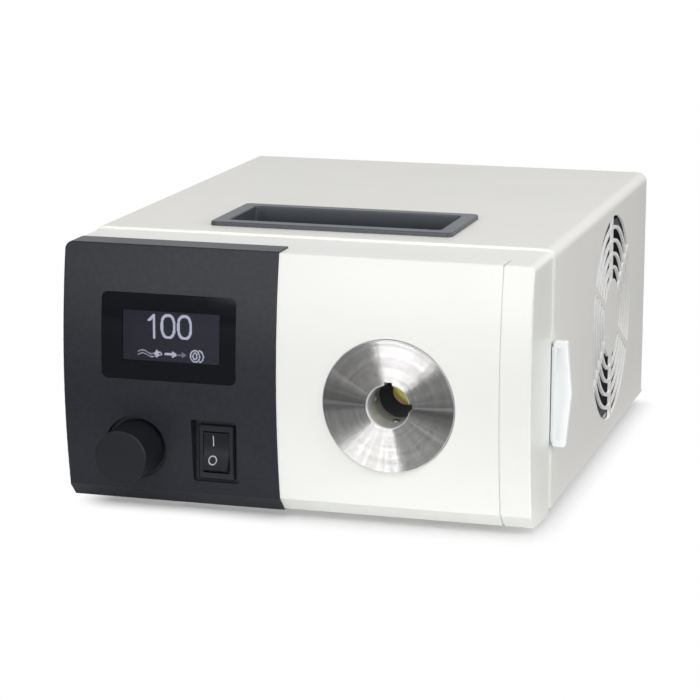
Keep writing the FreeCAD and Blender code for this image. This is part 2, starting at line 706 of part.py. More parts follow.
def front_frame():
    outer = moulding_body(0).cut(behind(COVER_FRONT))
    cavity_side = moulding_side - MOULDING_WALL
    cavity = front_bar(-MOULDING_WALL, -cavity_side, cavity_side)
    frame = outer.cut(cavity)

    spigot_side = inner_side - SPIGOT_GAP
    z0, z1 = tray_top + SPIGOT_GAP, inner_top - SPIGOT_GAP
    y = (COVER_FRONT - SPIGOT_WALL, COVER_FRONT + SPIGOT_LENGTH)
    spigot = block((-spigot_side, spigot_side), y, (z0, z1))

    def top_corner(edge, middle):
        return runs_along(edge, AY) and middle.z > COVER_TOP / 2

    spigot = spigot.makeFillet(COVER_BEND - COVER_SHEET, edges_near(spigot, top_corner))
    inside = spigot_side - SPIGOT_WALL
    spigot = spigot.cut(block((-inside, inside), (y[0] - 1, y[1] + 1), (z0 + SPIGOT_WALL, z1 - SPIGOT_WALL)))
    frame = joined(frame, spigot)

    post_front = MOULDING_WALL / 2
    post_length = bulkhead_front - post_front
    posts = [rod(V(p.x, post_front, p.z), AY, BOSS_RADIUS, post_length) for p in boss_places()]
    frame = joined(frame, *posts)
    frame = frame.cut([panel_bed(CONTROL_PROUD, -COVER_WIDTH, split_x), panel_bed(0, split_x, strip_x)])
    port_boss = rod(V(port_x, flange_seat, PORT_HEIGHT), AY, FLANGE_RADIUS - FLANGE_GAP, PORT_BOSS_LENGTH)
    frame = joined(frame, port_boss)

    window_side = moulding_side - CONTROL_LEDGE
    window_right = split_x - CONTROL_LEDGE
    through = (-2 * FRONT_BULGE, MOULDING_WALL * 2)
    display_opening = block(
        (-window_side, window_right),
        through,
        (KNOB_HEIGHT, COVER_TOP - BOSS_INSET - BOSS_RADIUS - PANEL_SHEET),
    )
    knob_room = KNOB_RECESS_RADIUS + POCKET_WALL + POCKET_GAP
    pocket_low = SWITCH_HEIGHT + POCKET_RISE - POCKET_TALL / 2 - POCKET_WALL - POCKET_GAP
    switch_opening = block((knob_x, window_right), through, (pocket_low, KNOB_HEIGHT + KNOB_RECESS_RADIUS))
    knob_opening = rod(V(knob_x, through[0], KNOB_HEIGHT), AY, knob_room, through[1] - through[0])
    ahead = port_point(-2 * PORT_FACE)
    port_clear = rod(ahead, AY, FLANGE_RADIUS + FLANGE_GAP, 2 * PORT_FACE + flange_seat)
    socket = rod(ahead, AY, SOCKET_RADIUS + SOCKET_CLEARANCE, COVER_FRONT)
    guide_room = block(
        (cavity_side - 1, COVER_WIDTH),
        (drawer_front - DRAWER_GAP - GUIDE_LIP_SHEET - 1, bulkhead_front),
        (drawer_low - GUIDE_RAIL - 1, drawer_high + GUIDE_RAIL + 1),
    )
    guide_room = guide_room.cut(in_front(COVER_FRONT - 0.01))
    cutters = [display_opening, switch_opening, knob_opening, port_clear, socket, guide_room]
    for place in boss_places():
        cutters.append(screw_hole(V(place.x, bulkhead_back, place.z), -AY, BULKHEAD_SCREW_LENGTH + 2))
    for place in flange_screw_places():
        cutters.append(screw_hole(place, -AY, PORT_BOSS_LENGTH + 2))
    return frame.cut(cutters)


def panel_bed(proud, x0, x1):
    """What is taken off the moulding so that a panel lies in it, with a seam behind the panel's rear edge."""
    floor = moulding_body(proud - PANEL_SHEET)
    region = in_front(PANEL_WRAP + PANEL_SEAM, x0, x1)
    if x0 > -COVER_WIDTH:
        floor = front_bar(proud - PANEL_SHEET, x0 - 1, x1 + 1)
    return region.cut(floor)


def window_block(grow, corner, y0, y1):
    """The window's outline, grown on every side."""
    half_x, half_z = WINDOW_WIDTH / 2 + grow, WINDOW_TALL / 2 + grow
    x = (window_x - half_x, window_x + half_x)
    z = (WINDOW_HEIGHT - half_z, WINDOW_HEIGHT + half_z)
    return rounded_block(x, (y0, y1), z, AY, corner)


def pocket_block(grow, y0, y1):
    """The switch pocket's outline, grown on every side."""
    half_x, half_z = POCKET_WIDTH / 2 + grow, POCKET_TALL / 2 + grow
    middle = SWITCH_HEIGHT + POCKET_RISE
    z = (middle - half_z, middle + half_z)
    return rounded_block((switch_x - half_x, switch_x + half_x), (y0, y1), z, AY, POCKET_CORNER + grow)


def switch_block(width, tall, y0, y1):
    x = (switch_x - width / 2, switch_x + width / 2)
    return block(x, (y0, y1), (SWITCH_HEIGHT - tall / 2, SWITCH_HEIGHT + tall / 2))


def control_panel():
    """Shell over the moulding's left part, flush at its side, with a recess, a pocket and a rebate."""
    inside = CONTROL_PROUD - PANEL_SHEET
    grown = moulding_body(CONTROL_PROUD)
    grown.translate(AX * CONTROL_PROUD)
    shell = grown.cut(front_bar(inside, -moulding_side - inside, COVER_WIDTH))
    shell = shell.common(in_front(PANEL_WRAP, -COVER_WIDTH, split_x))

    reach = 2 * FRONT_BULGE
    solid_front = front_bar(0, -moulding_side, split_x)
    knob_pad = rod(knob_point(-reach), AY, KNOB_RECESS_RADIUS + POCKET_WALL, reach + knob_pad_back)
    pad = pocket_block(POCKET_WALL, -reach, POCKET_FLOOR + POCKET_WALL)
    panel = joined(shell, knob_pad.common(solid_front), pad.common(solid_front))

    rebate_floor = front_bar(CONTROL_PROUD - WINDOW_SUNK - WINDOW_SHEET, -moulding_side, split_x)
    rebate = window_block(WINDOW_GAP, WINDOW_CORNER + WINDOW_GAP, -2 * reach, reach).cut(rebate_floor)
    through = window_block(-WINDOW_LEDGE, WINDOW_CORNER - WINDOW_LEDGE / 2, -2 * reach, reach)
    knob_recess = rod(knob_point(-KNOB_RECESS_FLOOR), -AY, KNOB_RECESS_RADIUS, 2 * reach)
    bush_hole = rod(knob_point(-reach), AY, BUSH_RADIUS + BUSH_CLEARANCE, 2 * reach)
    pocket = pocket_block(0, -2 * reach, POCKET_FLOOR)
    gap = 2 * ROCKER_GAP
    switch_hole = switch_block(SWITCH_BODY_WIDTH + gap, SWITCH_BODY_TALL + gap, -reach, 2 * reach)
    return panel.cut([rebate, through, knob_recess, bush_hole, pocket, switch_hole])


def port_panel():
    x0, x1 = split_x + PANEL_SEAM, strip_x - PANEL_SEAM / 2
    shell = moulding_body(0).cut(front_bar(-PANEL_SHEET, -COVER_WIDTH, COVER_WIDTH))
    panel = shell.common(in_front(PANEL_WRAP, x0, x1))
    hole = rod(V(port_x, -2 * PORT_FACE, PORT_HEIGHT), AY, FLANGE_RADIUS + FLANGE_GAP, COVER_FRONT)
    groove = in_front(PANEL_WRAP * 2, strip_x - GROOVE_WIDTH, COVER_WIDTH).cut(
        front_bar(-GROOVE_DEPTH, -COVER_WIDTH, COVER_WIDTH)
    )
    return panel.cut([hole, groove])


def front_bulkhead():
    side = inner_side - SPIGOT_GAP - SPIGOT_WALL - SPIGOT_GAP
    z0, z1 = tray_top, inner_top - SPIGOT_WALL * 2
    plate = block((-side, side), (bulkhead_front, bulkhead_back), (z0, z1))
    flange_y = (bulkhead_front, bulkhead_back + BULKHEAD_FLANGE)
    flange = block((-side, side), flange_y, (z0, z0 + BULKHEAD_SHEET))
    plate = joined(plate, flange)
    lead_window = rounded_block(
        (-side + 2 * BOSS_INSET, split_x - BOSS_INSET),
        (bulkhead_front - 1, bulkhead_back + 1),
        (z0 + 2 * BOSS_INSET, z1 - 2 * BOSS_INSET),
        AY,
        BOSS_RADIUS,
    )
    light_hole = rod(V(port_x, bulkhead_front - 1, PORT_HEIGHT), AY, LENS_RADIUS, BULKHEAD_SHEET + 2)
    holes = [screw_hole(V(p.x, bulkhead_back, p.z), -AY, 3 * BULKHEAD_SHEET) for p in boss_places()]
    holes += [screw_hole(p, AZ, 2 * TRAY_SCREW_LENGTH) for p in flange_tray_places()]
    return plate.cut([lead_window, light_hole] + holes)


def flange_tray_places():
    """Screws from below that hold the bulkhead's lower flange on the tray."""
    y = bulkhead_back + BULKHEAD_FLANGE / 2
    return [V(s * TRAY_SCREW_SPREAD / 2, y, tray_bottom) for s in (-1, 1)]


def rear_tray_places():
    """Screws from below that hold the rear panel's lower flange on the tray."""
    y = rear_front - REAR_FLANGE / 2
    return [V(s * TRAY_SCREW_SPREAD / 2, y, tray_bottom) for s in (-1, 1)]


def base_tray():
    side = inner_side - TRAY_SIDE_GAP
    y = (COVER_FRONT + SPIGOT_LENGTH + SPIGOT_GAP, rear_back)
    sheet = block((-side, side), y, (tray_bottom, tray_top))
    tongue_side = side - COVER_LIP - TRAY_SIDE_GAP
    tongue = block((-tongue_side, tongue_side), (COVER_FRONT, y[0]), (tray_bottom, tray_top))
    wall_y = (y[0], rear_front - SPIGOT_GAP)
    wall_z = (tray_bottom, tray_top + TRAY_FLANGE)
    walls = [block(sorted((s * side, s * (side - TRAY_SHEET))), wall_y, wall_z) for s in (-1, 1)]
    tray = joined(sheet, tongue, *walls)
    places = lip_screw_places() + flange_tray_places() + rear_tray_places()
    places += foot_places() + standoff_places()
    holes = [screw_hole(V(p.x, p.y, tray_bottom - 1), AZ, 4 * TRAY_SHEET) for p in places]
    return tray.cut(holes)


def rear_panel():
    side = inner_side - TRAY_SIDE_GAP
    z1 = inner_top - SPIGOT_GAP
    plate = block((-side, side), (rear_front, rear_back), (tray_top, z1))
    flange_side = side - REAR_FLANGE
    flange_y = (rear_front - REAR_FLANGE, rear_back)
    flange = block((-flange_side, flange_side), flange_y, (tray_top, tray_top + REAR_SHEET))

    def top_corner(edge, middle):
        return runs_along(edge, AY) and middle.z > COVER_TOP / 2

    plate = plate.makeFillet(COVER_BEND - COVER_SHEET, edges_near(plate, top_corner))
    plate = joined(plate, flange)
    gap = 2 * INLET_BODY_GAP
    inlet_hole = inlet_block(INLET_BODY_WIDTH + gap, INLET_BODY_TALL + gap, (rear_front - 1, rear_back + 1))
    holes = [screw_hole(p, -AY, 6 * REAR_SHEET) for p in rear_screw_places()]
    holes += [screw_hole(p, AZ, 2 * TRAY_SCREW_LENGTH) for p in rear_tray_places()]
    holes += [screw_hole(p, -AY, 8 * REAR_SHEET) for p in inlet_screw_places()]
    return plate.cut([inlet_hole] + holes)


def foot_places():
    x = cover_side - FOOT_INSET_X
    rows = (COVER_FRONT + FOOT_INSET_FRONT, cover_rear - FOOT_INSET_REAR)
    return [V(s * x, y, tray_bottom) for s in (-1, 1) for y in rows]


def rubber_feet():
    feet = []
    tall = tray_bottom - table
    for place in foot_places():
        outline = [
            (SCREW_RADIUS + SCREW_CLEARANCE, tall),
            (FOOT_TOP_RADIUS, tall),
            (FOOT_RADIUS, FOOT_EDGE),
            (FOOT_RADIUS - FOOT_EDGE, 0),
            (FOOT_RECESS_RADIUS, 0),
            (FOOT_RECESS_RADIUS, FOOT_RECESS),
            (SCREW_RADIUS + SCREW_CLEARANCE, FOOT_RECESS),
        ]
        feet.append(revolved(outline, V(place.x, place.y, table), AZ, AX))
    return group(feet)


def feet_screws():
    return group([screw(V(p.x, p.y, table + FOOT_RECESS), AZ, FOOT_SCREW_LENGTH) for p in foot_places()])


def cover_screws():
    screws = [screw(p, AZ, COVER_SCREW_LENGTH) for p in lip_screw_places()]
    return group(screws + [screw(p, -AY, COVER_SCREW_LENGTH) for p in rear_screw_places()])


def chassis_screws():
    """Screws into the moulding, from the tray into both upright plates, and into the port flange."""
    screws = [screw(V(p.x, bulkhead_back, p.z), -AY, BULKHEAD_SCREW_LENGTH) for p in boss_places()]
    screws += [screw(p, AZ, TRAY_SCREW_LENGTH) for p in flange_tray_places() + rear_tray_places()]
    return group(screws + [screw(p, -AY, PORT_BOSS_LENGTH + FLANGE_SHEET / 2) for p in flange_screw_places()])


def handle_cup():
    rim = handle_block(HANDLE_LENGTH, HANDLE_WIDTH, COVER_TOP, COVER_TOP + HANDLE_RIM, HANDLE_CORNER)

    def top_outline(edge, middle):
        return middle.z > COVER_TOP + HANDLE_RIM * 0.9

    rim = rim.makeFillet(HANDLE_EDGE, edges_near(rim, top_outline))
    body_low = handle_floor - HANDLE_WALL
    body = handle_block(handle_body_length, handle_body_width, body_low, COVER_TOP, HANDLE_CORNER)
    hook = COVER_TOP - HANDLE_HOOK
    mouth = handle_block(mouth_length, mouth_width, hook - 1, COVER_TOP + 10, HANDLE_CORNER - 1)
    hollow_width = mouth_width + 2 * HANDLE_UNDERCUT
    hollow = handle_block(mouth_length, hollow_width, handle_floor, hook, HANDLE_CORNER - 1)
    hollow = hollow.makeFillet(HANDLE_WALL, edges_near(hollow, lambda e, m: m.z < handle_floor + 0.1))
    cup = joined(rim, body).cut([mouth, hollow])

    def mouth_edge(edge, middle):
        inside_x = abs(middle.x - handle_x) < mouth_length / 2 + 0.1
        inside_y = abs(middle.y - handle_y) < mouth_width / 2 + 0.1
        return middle.z > COVER_TOP + HANDLE_RIM - 0.05 and inside_x and inside_y

    return cup.makeFillet(HANDLE_EDGE, edges_near(cup, mouth_edge))


# ---- Control panel parts -------------------------------------------------------------------------
def display_window():
    outer = CONTROL_PROUD - WINDOW_SUNK
    inner = front_bar(outer - WINDOW_SHEET, -COVER_WIDTH, COVER_WIDTH)
    sheet = front_bar(outer, -moulding_side, split_x).cut(inner)
    return sheet.common(window_block(0, WINDOW_CORNER, -4 * FRONT_BULGE, COVER_FRONT / 2))


def display_module():
    """The display's glass with its own small board behind it, and four posts down to the control board."""
    half_w, half_t = DISPLAY_WIDTH / 2, DISPLAY_TALL / 2
    margin = DISPLAY_BOARD_MARGIN
    glass_back = DISPLAY_SETBACK + DISPLAY_GLASS
    board_back = glass_back + BOARD_SHEET
    glass = block(
        (window_x - half_w, window_x + half_w),
        (DISPLAY_SETBACK, glass_back),
        (WINDOW_HEIGHT - half_t, WINDOW_HEIGHT + half_t),
    )
    board = block(
        (window_x - half_w - margin, window_x + half_w + margin),
        (glass_back, board_back),
        (WINDOW_HEIGHT - half_t - margin, WINDOW_HEIGHT + half_t + margin),
    )
    middle = V(window_x, board_back, WINDOW_HEIGHT)
    corners = [middle + V(s * half_w, 0, t * half_t) for s in (-1, 1) for t in (-1, 1)]
    posts = [rod(corner, AY, DISPLAY_POST_RADIUS, BOARD_FRONT - board_back) for corner in corners]
    return joined(glass, board, *posts)


def control_board():
    side = moulding_side - MOULDING_WALL
    x = (-side + BOARD_MARGIN / 2, split_x - BOARD_MARGIN)
    z = (CHIN_HEIGHT + BOARD_MARGIN / 2, moulding_top - BOARD_MARGIN)
    board = block(x, (BOARD_FRONT, BOARD_FRONT + BOARD_SHEET), z)
    gap = 2 * POCKET_WALL
    switch_room = switch_block(SWITCH_BODY_WIDTH + gap, SWITCH_BODY_TALL + gap, 0, COVER_FRONT)
    corners = [rod(V(p.x, 0, p.z), AY, BOSS_RADIUS + POCKET_GAP, COVER_FRONT) for p in boss_places()]
    first = V(x[0] + CHIP_FROM_LEFT, BOARD_FRONT + BOARD_SHEET, z[0] + CHIP_FROM_LOW)
    chips = [Part.makeBox(*CHIP_SIZE, first + AZ * (row * CHIP_PITCH)) for row in range(CHIPS)]
    return joined(board, *chips).cut([switch_room] + corners)


def knob_point(y):
    return V(knob_x, y, KNOB_HEIGHT)


knob_rim = KNOB_LIFT + KNOB_RECESS_FLOOR
shaft_tip = -knob_rim - KNOB_HOLLOW_DEPTH - SHAFT_GRIP
encoder_front = BOARD_FRONT - ENCODER_DEPTH


def knob():
    length = KNOB_FRONT - knob_rim
    outline = [(0.0, 0), (0.0, -length), (KNOB_RADIUS - KNOB_TAPER, -length), (KNOB_RADIUS, 0)]
    body = revolved(outline, knob_point(-knob_rim), AY, AX)
    body = body.makeFillet(KNOB_EDGE, edges_near(body, lambda e, m: abs(m.y + KNOB_FRONT) < 0.01))
    hollow = rod(knob_point(-knob_rim + 1), -AY, KNOB_HOLLOW_RADIUS, KNOB_HOLLOW_DEPTH + 1)
    bore = rod(knob_point(shaft_tip), AY, SHAFT_RADIUS, KNOB_FRONT)
    grub = rod(grub_start(), -AZ, KNOB_SCREW_RADIUS, KNOB_RADIUS)
    return body.cut([hollow, bore, grub])


def grub_start():
    """The grub screw starts on the shaft and points down, where it isn't seen."""
    return V(knob_x, -knob_rim - KNOB_HOLLOW_DEPTH - 2.5 * KNOB_SCREW_RADIUS, KNOB_HEIGHT - SHAFT_RADIUS)


def knob_grub_screw():
    start = grub_start()
    body = rod(start, -AZ, KNOB_SCREW_RADIUS, KNOB_SCREW_LENGTH)
    socket_start = start - AZ * (KNOB_SCREW_LENGTH - SCREW_SOCKET)
    socket = hexagon(socket_start, -AZ, AX, KNOB_SCREW_RADIUS, 2 * SCREW_SOCKET)
    return body.cut(socket)


cavity_front = encoder_front + ENCODER_WALL
cavity_back = BOARD_FRONT - ENCODER_WALL


def encoder_shaft():
    end = cavity_back - KNOB_PRESS - SHAFT_END_GAP
    return rod(knob_point(shaft_tip), AY, SHAFT_RADIUS, end - shaft_tip)


def encoder_wheel():
    """The code wheel that turns with the shaft, its rim cut into teeth."""
    start = knob_point(cavity_front + SHAFT_END_GAP)
    wheel = tube(start, AY, ENCODER_WHEEL_RADIUS, SHAFT_RADIUS + SHAFT_CLEARANCE, ENCODER_WHEEL_SHEET)
    gap_centre = start + V(ENCODER_WHEEL_RADIUS, ENCODER_WHEEL_SHEET / 2, 0)
    gap = centred_block(gap_centre, (ENCODER_WHEEL_GAP, 2 * ENCODER_WHEEL_SHEET, ENCODER_WHEEL_GAP))
    return wheel.cut(around(gap, knob_point(0), AY, ENCODER_WHEEL_TEETH))


def encoder_body():
    half = ENCODER_SIZE / 2
    case_z = (KNOB_HEIGHT - half, KNOB_HEIGHT + half)
    case = block((knob_x - half, knob_x + half), (encoder_front, BOARD_FRONT), case_z)
    bush_front = -KNOB_RECESS_FLOOR - NUT_SHEET - BUSH_PROUD
    bush = rod(knob_point(bush_front), AY, BUSH_RADIUS, encoder_front - bush_front)
    collar = rod(knob_point(knob_pad_back), AY, ENCODER_COLLAR_RADIUS, encoder_front - knob_pad_back)
    bore = rod(knob_point(bush_front - 1), AY, SHAFT_RADIUS + SHAFT_CLEARANCE, cavity_back - bush_front + 1)
    cavity = rod(knob_point(cavity_front), AY, ENCODER_CAVITY_RADIUS, cavity_back - cavity_front)
    return joined(case, bush, collar).cut([bore, cavity])


def encoder_nut():
    nut = hexagon(knob_point(-KNOB_RECESS_FLOOR), -AY, AX, NUT_FLATS, NUT_SHEET)
    return nut.cut(rod(knob_point(0), -AY, BUSH_RADIUS + SCREW_CLEARANCE, 2 * NUT_SHEET + KNOB_RECESS_FLOOR))


# ---- Rocker switch -------------------------------------------------------------------------------
bezel_front = POCKET_FLOOR - BEZEL_SHEET
pivot_y = bezel_front + ROCKER_PIVOT_DEPTH
rocker_end_radius = math.hypot(
    ROCKER_TALL / 2, ROCKER_PIVOT_DEPTH + ROCKER_PROUD + math.tan(math.radians(ROCKER_TILT)) * ROCKER_TALL / 2
)


def switch_body():
    """Bezel on the pocket's floor, and the hollow can behind it with holes for the rocker's axle."""
    x = (switch_x - BEZEL_WIDTH / 2, switch_x + BEZEL_WIDTH / 2)
    z = (SWITCH_HEIGHT - BEZEL_TALL / 2, SWITCH_HEIGHT + BEZEL_TALL / 2)
    bezel = rounded_block(x, (bezel_front, POCKET_FLOOR), z, AY, POCKET_CORNER)
    bezel = bezel.makeChamfer(BEZEL_CHAMFER, edges_near(bezel, lambda e, m: m.y < bezel_front + 0.01))
    can_back = POCKET_FLOOR + SWITCH_BODY_DEPTH
    can = switch_block(SWITCH_BODY_WIDTH, SWITCH_BODY_TALL, POCKET_FLOOR, can_back)
    room_tall = 2 * (rocker_end_radius + ROCKER_GAP)
    room = switch_block(ROCKER_WIDTH + 2 * ROCKER_GAP, room_tall, bezel_front - 1, can_back - SWITCH_BASE)
    hole_start = V(switch_x - SWITCH_BODY_WIDTH / 2, pivot_y, SWITCH_HEIGHT)
    pivots = rod(hole_start, AX, ROCKER_PIVOT_RADIUS + ROCKER_PIVOT_CLEARANCE, SWITCH_BODY_WIDTH)
    return joined(bezel, can).cut([room, pivots])


def rocker_point(angle, radius):
    """A point of the rocker's profile, level, at an angle up from straight ahead of the pivot."""
    start = V(switch_x - ROCKER_WIDTH / 2, pivot_y, SWITCH_HEIGHT)
    return start + V(0, -math.cos(angle), math.sin(angle)) * radius


def switch_rocker():
    """The rocker, tilted so that its upper end is pressed in. Its ends are round about the pivot."""
    half_tall = ROCKER_TALL / 2
    end_rise = ROCKER_PIVOT_DEPTH + ROCKER_PROUD + math.tan(math.radians(ROCKER_TILT)) * half_tall
    corner = math.atan2(half_tall, end_rise)
    back = math.radians(90 + ROCKER_TILT)
    start = rocker_point(0, 0)
    outline = [
        Part.Arc(
            rocker_point(corner, rocker_end_radius),
            start + V(0, ROCKER_DISH - ROCKER_PIVOT_DEPTH - ROCKER_PROUD, 0),
            rocker_point(-corner, rocker_end_radius),
        ).toShape()
    ]
    for side in (-1, 1):
        near = rocker_point(side * corner, rocker_end_radius)
        middle = rocker_point(side * (corner + back) / 2, rocker_end_radius)
        far = rocker_point(side * back, rocker_end_radius)
        heel = start + V(0, ROCKER_BACK, side * ROCKER_PIVOT_RADIUS)
        outline.append(Part.Arc(near, middle, far).toShape())
        outline.append(Part.makeLine(far, heel))
    outline.append(Part.makeLine(outline[2].Vertexes[-1].Point, outline[4].Vertexes[-1].Point))
    body = Part.Face(Part.Wire(Part.__sortEdges__(outline))).extrude(AX * ROCKER_WIDTH)

    def face_end(edge, middle):
        return runs_along(edge, AX) and middle.y < pivot_y - end_rise * 0.9

    body = body.makeFillet(ROCKER_EDGE, edges_near(body, face_end))
    axle_length = SWITCH_BODY_WIDTH - 2 * ROCKER_GAP
    axle = rod(V(switch_x - axle_length / 2, pivot_y, SWITCH_HEIGHT), AX, ROCKER_PIVOT_RADIUS, axle_length)
    rocker = joined(body, axle)
    rocker.rotate(V(switch_x, pivot_y, SWITCH_HEIGHT), AX, -ROCKER_TILT)
    return rocker


def switch_terminals():
    end = POCKET_FLOOR + SWITCH_BODY_DEPTH
    blades = []
    for column in (-1, 1):
        for row in (-1, 0, 1):
            x = switch_x + column * SWITCH_BODY_WIDTH / 4
            centre = V(x, end + TERMINAL_LENGTH / 2, SWITCH_HEIGHT + row * TERMINAL_PITCH)
            blades.append(centred_block(centre, (TERMINAL_SHEET, TERMINAL_LENGTH, TERMINAL_WIDTH)))
    return group(blades)


# ---- Light-guide port ----------------------------------------------------------------------------
def port_point(y):
    return V(port_x, y, PORT_HEIGHT)


def flange_screw_places():
    """Seats of the screws that come from inside, through the moulding's boss, into the flange."""
    seat = flange_seat + PORT_BOSS_LENGTH
    turns = [math.radians(45 + index * 360.0 / FLANGE_SCREWS) for index in range(FLANGE_SCREWS)]
    return [port_point(seat) + V(math.cos(a), 0, math.sin(a)) * FLANGE_SCREW_CIRCLE for a in turns]


def port_flange():
    """Turned flange and socket: face, mouth chamfer, keyed bore and a counterbore for the baffle."""
    outline = [
        (PORT_BORE_RADIUS + PORT_MOUTH_CHAMFER, 0),
        (FLANGE_RADIUS - FLANGE_EDGE, 0),
        (FLANGE_RADIUS, FLANGE_EDGE),
        (FLANGE_RADIUS, FLANGE_SHEET),
        (SOCKET_RADIUS, FLANGE_SHEET),
        (SOCKET_RADIUS, SOCKET_LENGTH),
        (BAFFLE_SPIGOT_RADIUS, SOCKET_LENGTH),
        (BAFFLE_SPIGOT_RADIUS, SOCKET_LENGTH - BAFFLE_SPIGOT),
        (PORT_BORE_RADIUS + PORT_RELIEF, SOCKET_LENGTH - BAFFLE_SPIGOT),
        (PORT_BORE_RADIUS + PORT_RELIEF, PORT_BORE_LENGTH),
        (PORT_BORE_RADIUS, PORT_BORE_LENGTH),
        (PORT_BORE_RADIUS, PORT_MOUTH_CHAMFER),
    ]
    body = revolved(outline, port_point(-PORT_FACE), AY, AX)
    half = PORT_KEY_WIDTH / 2
    reach = PORT_BORE_RADIUS + PORT_KEY_DEPTH
    y = (-PORT_FACE - 1, baffle_front + 0.01)
    key_top = block((port_x - half, port_x + half), y, (PORT_HEIGHT, PORT_HEIGHT + reach))
    key_side = block((port_x, port_x + reach), y, (PORT_HEIGHT - half, PORT_HEIGHT + half))
    cutters = [key_top, key_side]
    for direction in (-AZ, -AX):
        centre = detent_place(direction, ball_centre_radius)
        radius = DETENT_BALL_RADIUS + DETENT_HOLE_GAP
        seat = Part.makeSphere(radius, centre, -direction, 0, 90, 360)
        cutters.append(seat.fuse(rod(centre, direction, radius, SOCKET_RADIUS)))
    for place in flange_screw_places():
        cutters.append(screw_hole(V(place.x, flange_seat, place.z), -AY, FLANGE_SHEET * 0.7))
    return body.cut(cutters)


def port_baffle():
    """Black light baffle: a spigot in the flange, a taper to the aperture, and a taper out to the lens."""
    end = BAFFLE_SPIGOT + BAFFLE_LENGTH
    outline = [
        (PORT_BORE_RADIUS, 0),
        (BAFFLE_SPIGOT_RADIUS - BAFFLE_GAP, 0),
        (BAFFLE_SPIGOT_RADIUS - BAFFLE_GAP, BAFFLE_SPIGOT),
        (SOCKET_RADIUS, BAFFLE_SPIGOT),
        (SOCKET_RADIUS, end),
        (BAFFLE_EXIT_RADIUS, end),
        (BAFFLE_APERTURE, BAFFLE_APERTURE_DEPTH),
    ]
    return revolved(outline, port_point(baffle_front), AY, AX)


def detent_place(direction, radius):
    return port_point(DETENT_DEPTH - PORT_FACE) + direction * radius


ball_centre_radius = PORT_BORE_RADIUS - DETENT_STANDS_IN + DETENT_BALL_RADIUS
coil_radius = DETENT_BALL_RADIUS - DETENT_WIRE / 2 - DETENT_SPRING_GAP
spring_start = ball_centre_radius + math.sqrt(DETENT_BALL_RADIUS**2 - (coil_radius - DETENT_WIRE / 2) ** 2)
detent_plug_start = spring_start + DETENT_SPRING_LENGTH


def detent_ball(direction):
    ball = Part.makeSphere(DETENT_BALL_RADIUS)
    ball.translate(detent_place(direction, ball_centre_radius))
    return ball


def detent_spring(direction):
    """A short coil spring of square wire between the ball and its plug."""
    pitch = DETENT_SPRING_LENGTH / DETENT_SPRING_TURNS
    helix = Part.makeHelix(pitch, DETENT_SPRING_LENGTH - DETENT_WIRE, coil_radius)
    half = DETENT_WIRE / 2
    signs = ((-1, -1), (1, -1), (1, 1), (-1, 1), (-1, -1))
    corners = [V(coil_radius + s * half, 0, t * half) for s, t in signs]
    spring = Part.Wire(helix).makePipeShell([Part.makePolygon(corners)], True, True)
    spring.translate(V(0, 0, half))
    turn = FreeCAD.Rotation(AZ, direction)
    place_there = FreeCAD.Placement(detent_place(direction, spring_start), turn)
    spring.Placement = place_there.multiply(spring.Placement)
    return spring


def detent_screws():
    plugs = []
    length = SOCKET_RADIUS - detent_plug_start
    for direction in (-AZ, -AX):
        start = detent_place(direction, detent_plug_start)
        plug = rod(start, direction, DETENT_BALL_RADIUS + DETENT_HOLE_GAP, length)
        socket_start = detent_place(direction, SOCKET_RADIUS - SCREW_SOCKET)
        plugs.append(plug.cut(hexagon(socket_start, direction, AY, DETENT_BALL_RADIUS, length)))
    return group(plugs)


# ---- Filter drawer -------------------------------------------------------------------------------
def grip_bar(points, y0, y1, corner):
    """A bar along Y from points in the XZ plane, with its long corners rounded."""
    face = Part.Face(Part.makePolygon([V(x, y0, z) for x, z in points + points[:1]]))
    bar = face.extrude(AY * (y1 - y0))
    return bar.makeFillet(corner, edges_near(bar, lambda edge, middle: runs_along(edge, AY)))


def grip_body(y0, y1):
    """The grip: straight along the cover, widest in the middle."""
    half = GRIP_TALL / 2
    inner = cover_side + GRIP_COVER_GAP
    end = cover_side + GRIP_END
    points = [
        (inner, GRIP_HEIGHT - half),
        (end, GRIP_HEIGHT - half),
        (grip_outer, GRIP_HEIGHT),
        (end, GRIP_HEIGHT + half),
        (inner, GRIP_HEIGHT + half),
    ]
    return grip_bar(points, y0, y1, GRIP_CORNER)


def grip_scoop(y0, y1):
    """The shallow hollow for a finger tip, six-sided, with its widest place in the middle."""
    half = GRIP_TALL / 2 - GRIP_END_RIM
    inner = cover_side + GRIP_COVER_GAP
    end = cover_side + GRIP_END - GRIP_RIM
    points = [
        (inner + GRIP_RIM * 1.3, GRIP_HEIGHT - half),
        (end, GRIP_HEIGHT - half),
        (grip_outer - GRIP_RIM, GRIP_HEIGHT),
        (end, GRIP_HEIGHT + half),
        (inner + GRIP_RIM * 1.3, GRIP_HEIGHT + half),
        (inner + GRIP_RIM / 3, GRIP_HEIGHT),
    ]
    return grip_bar(points, y0, y1, GRIP_CORNER)


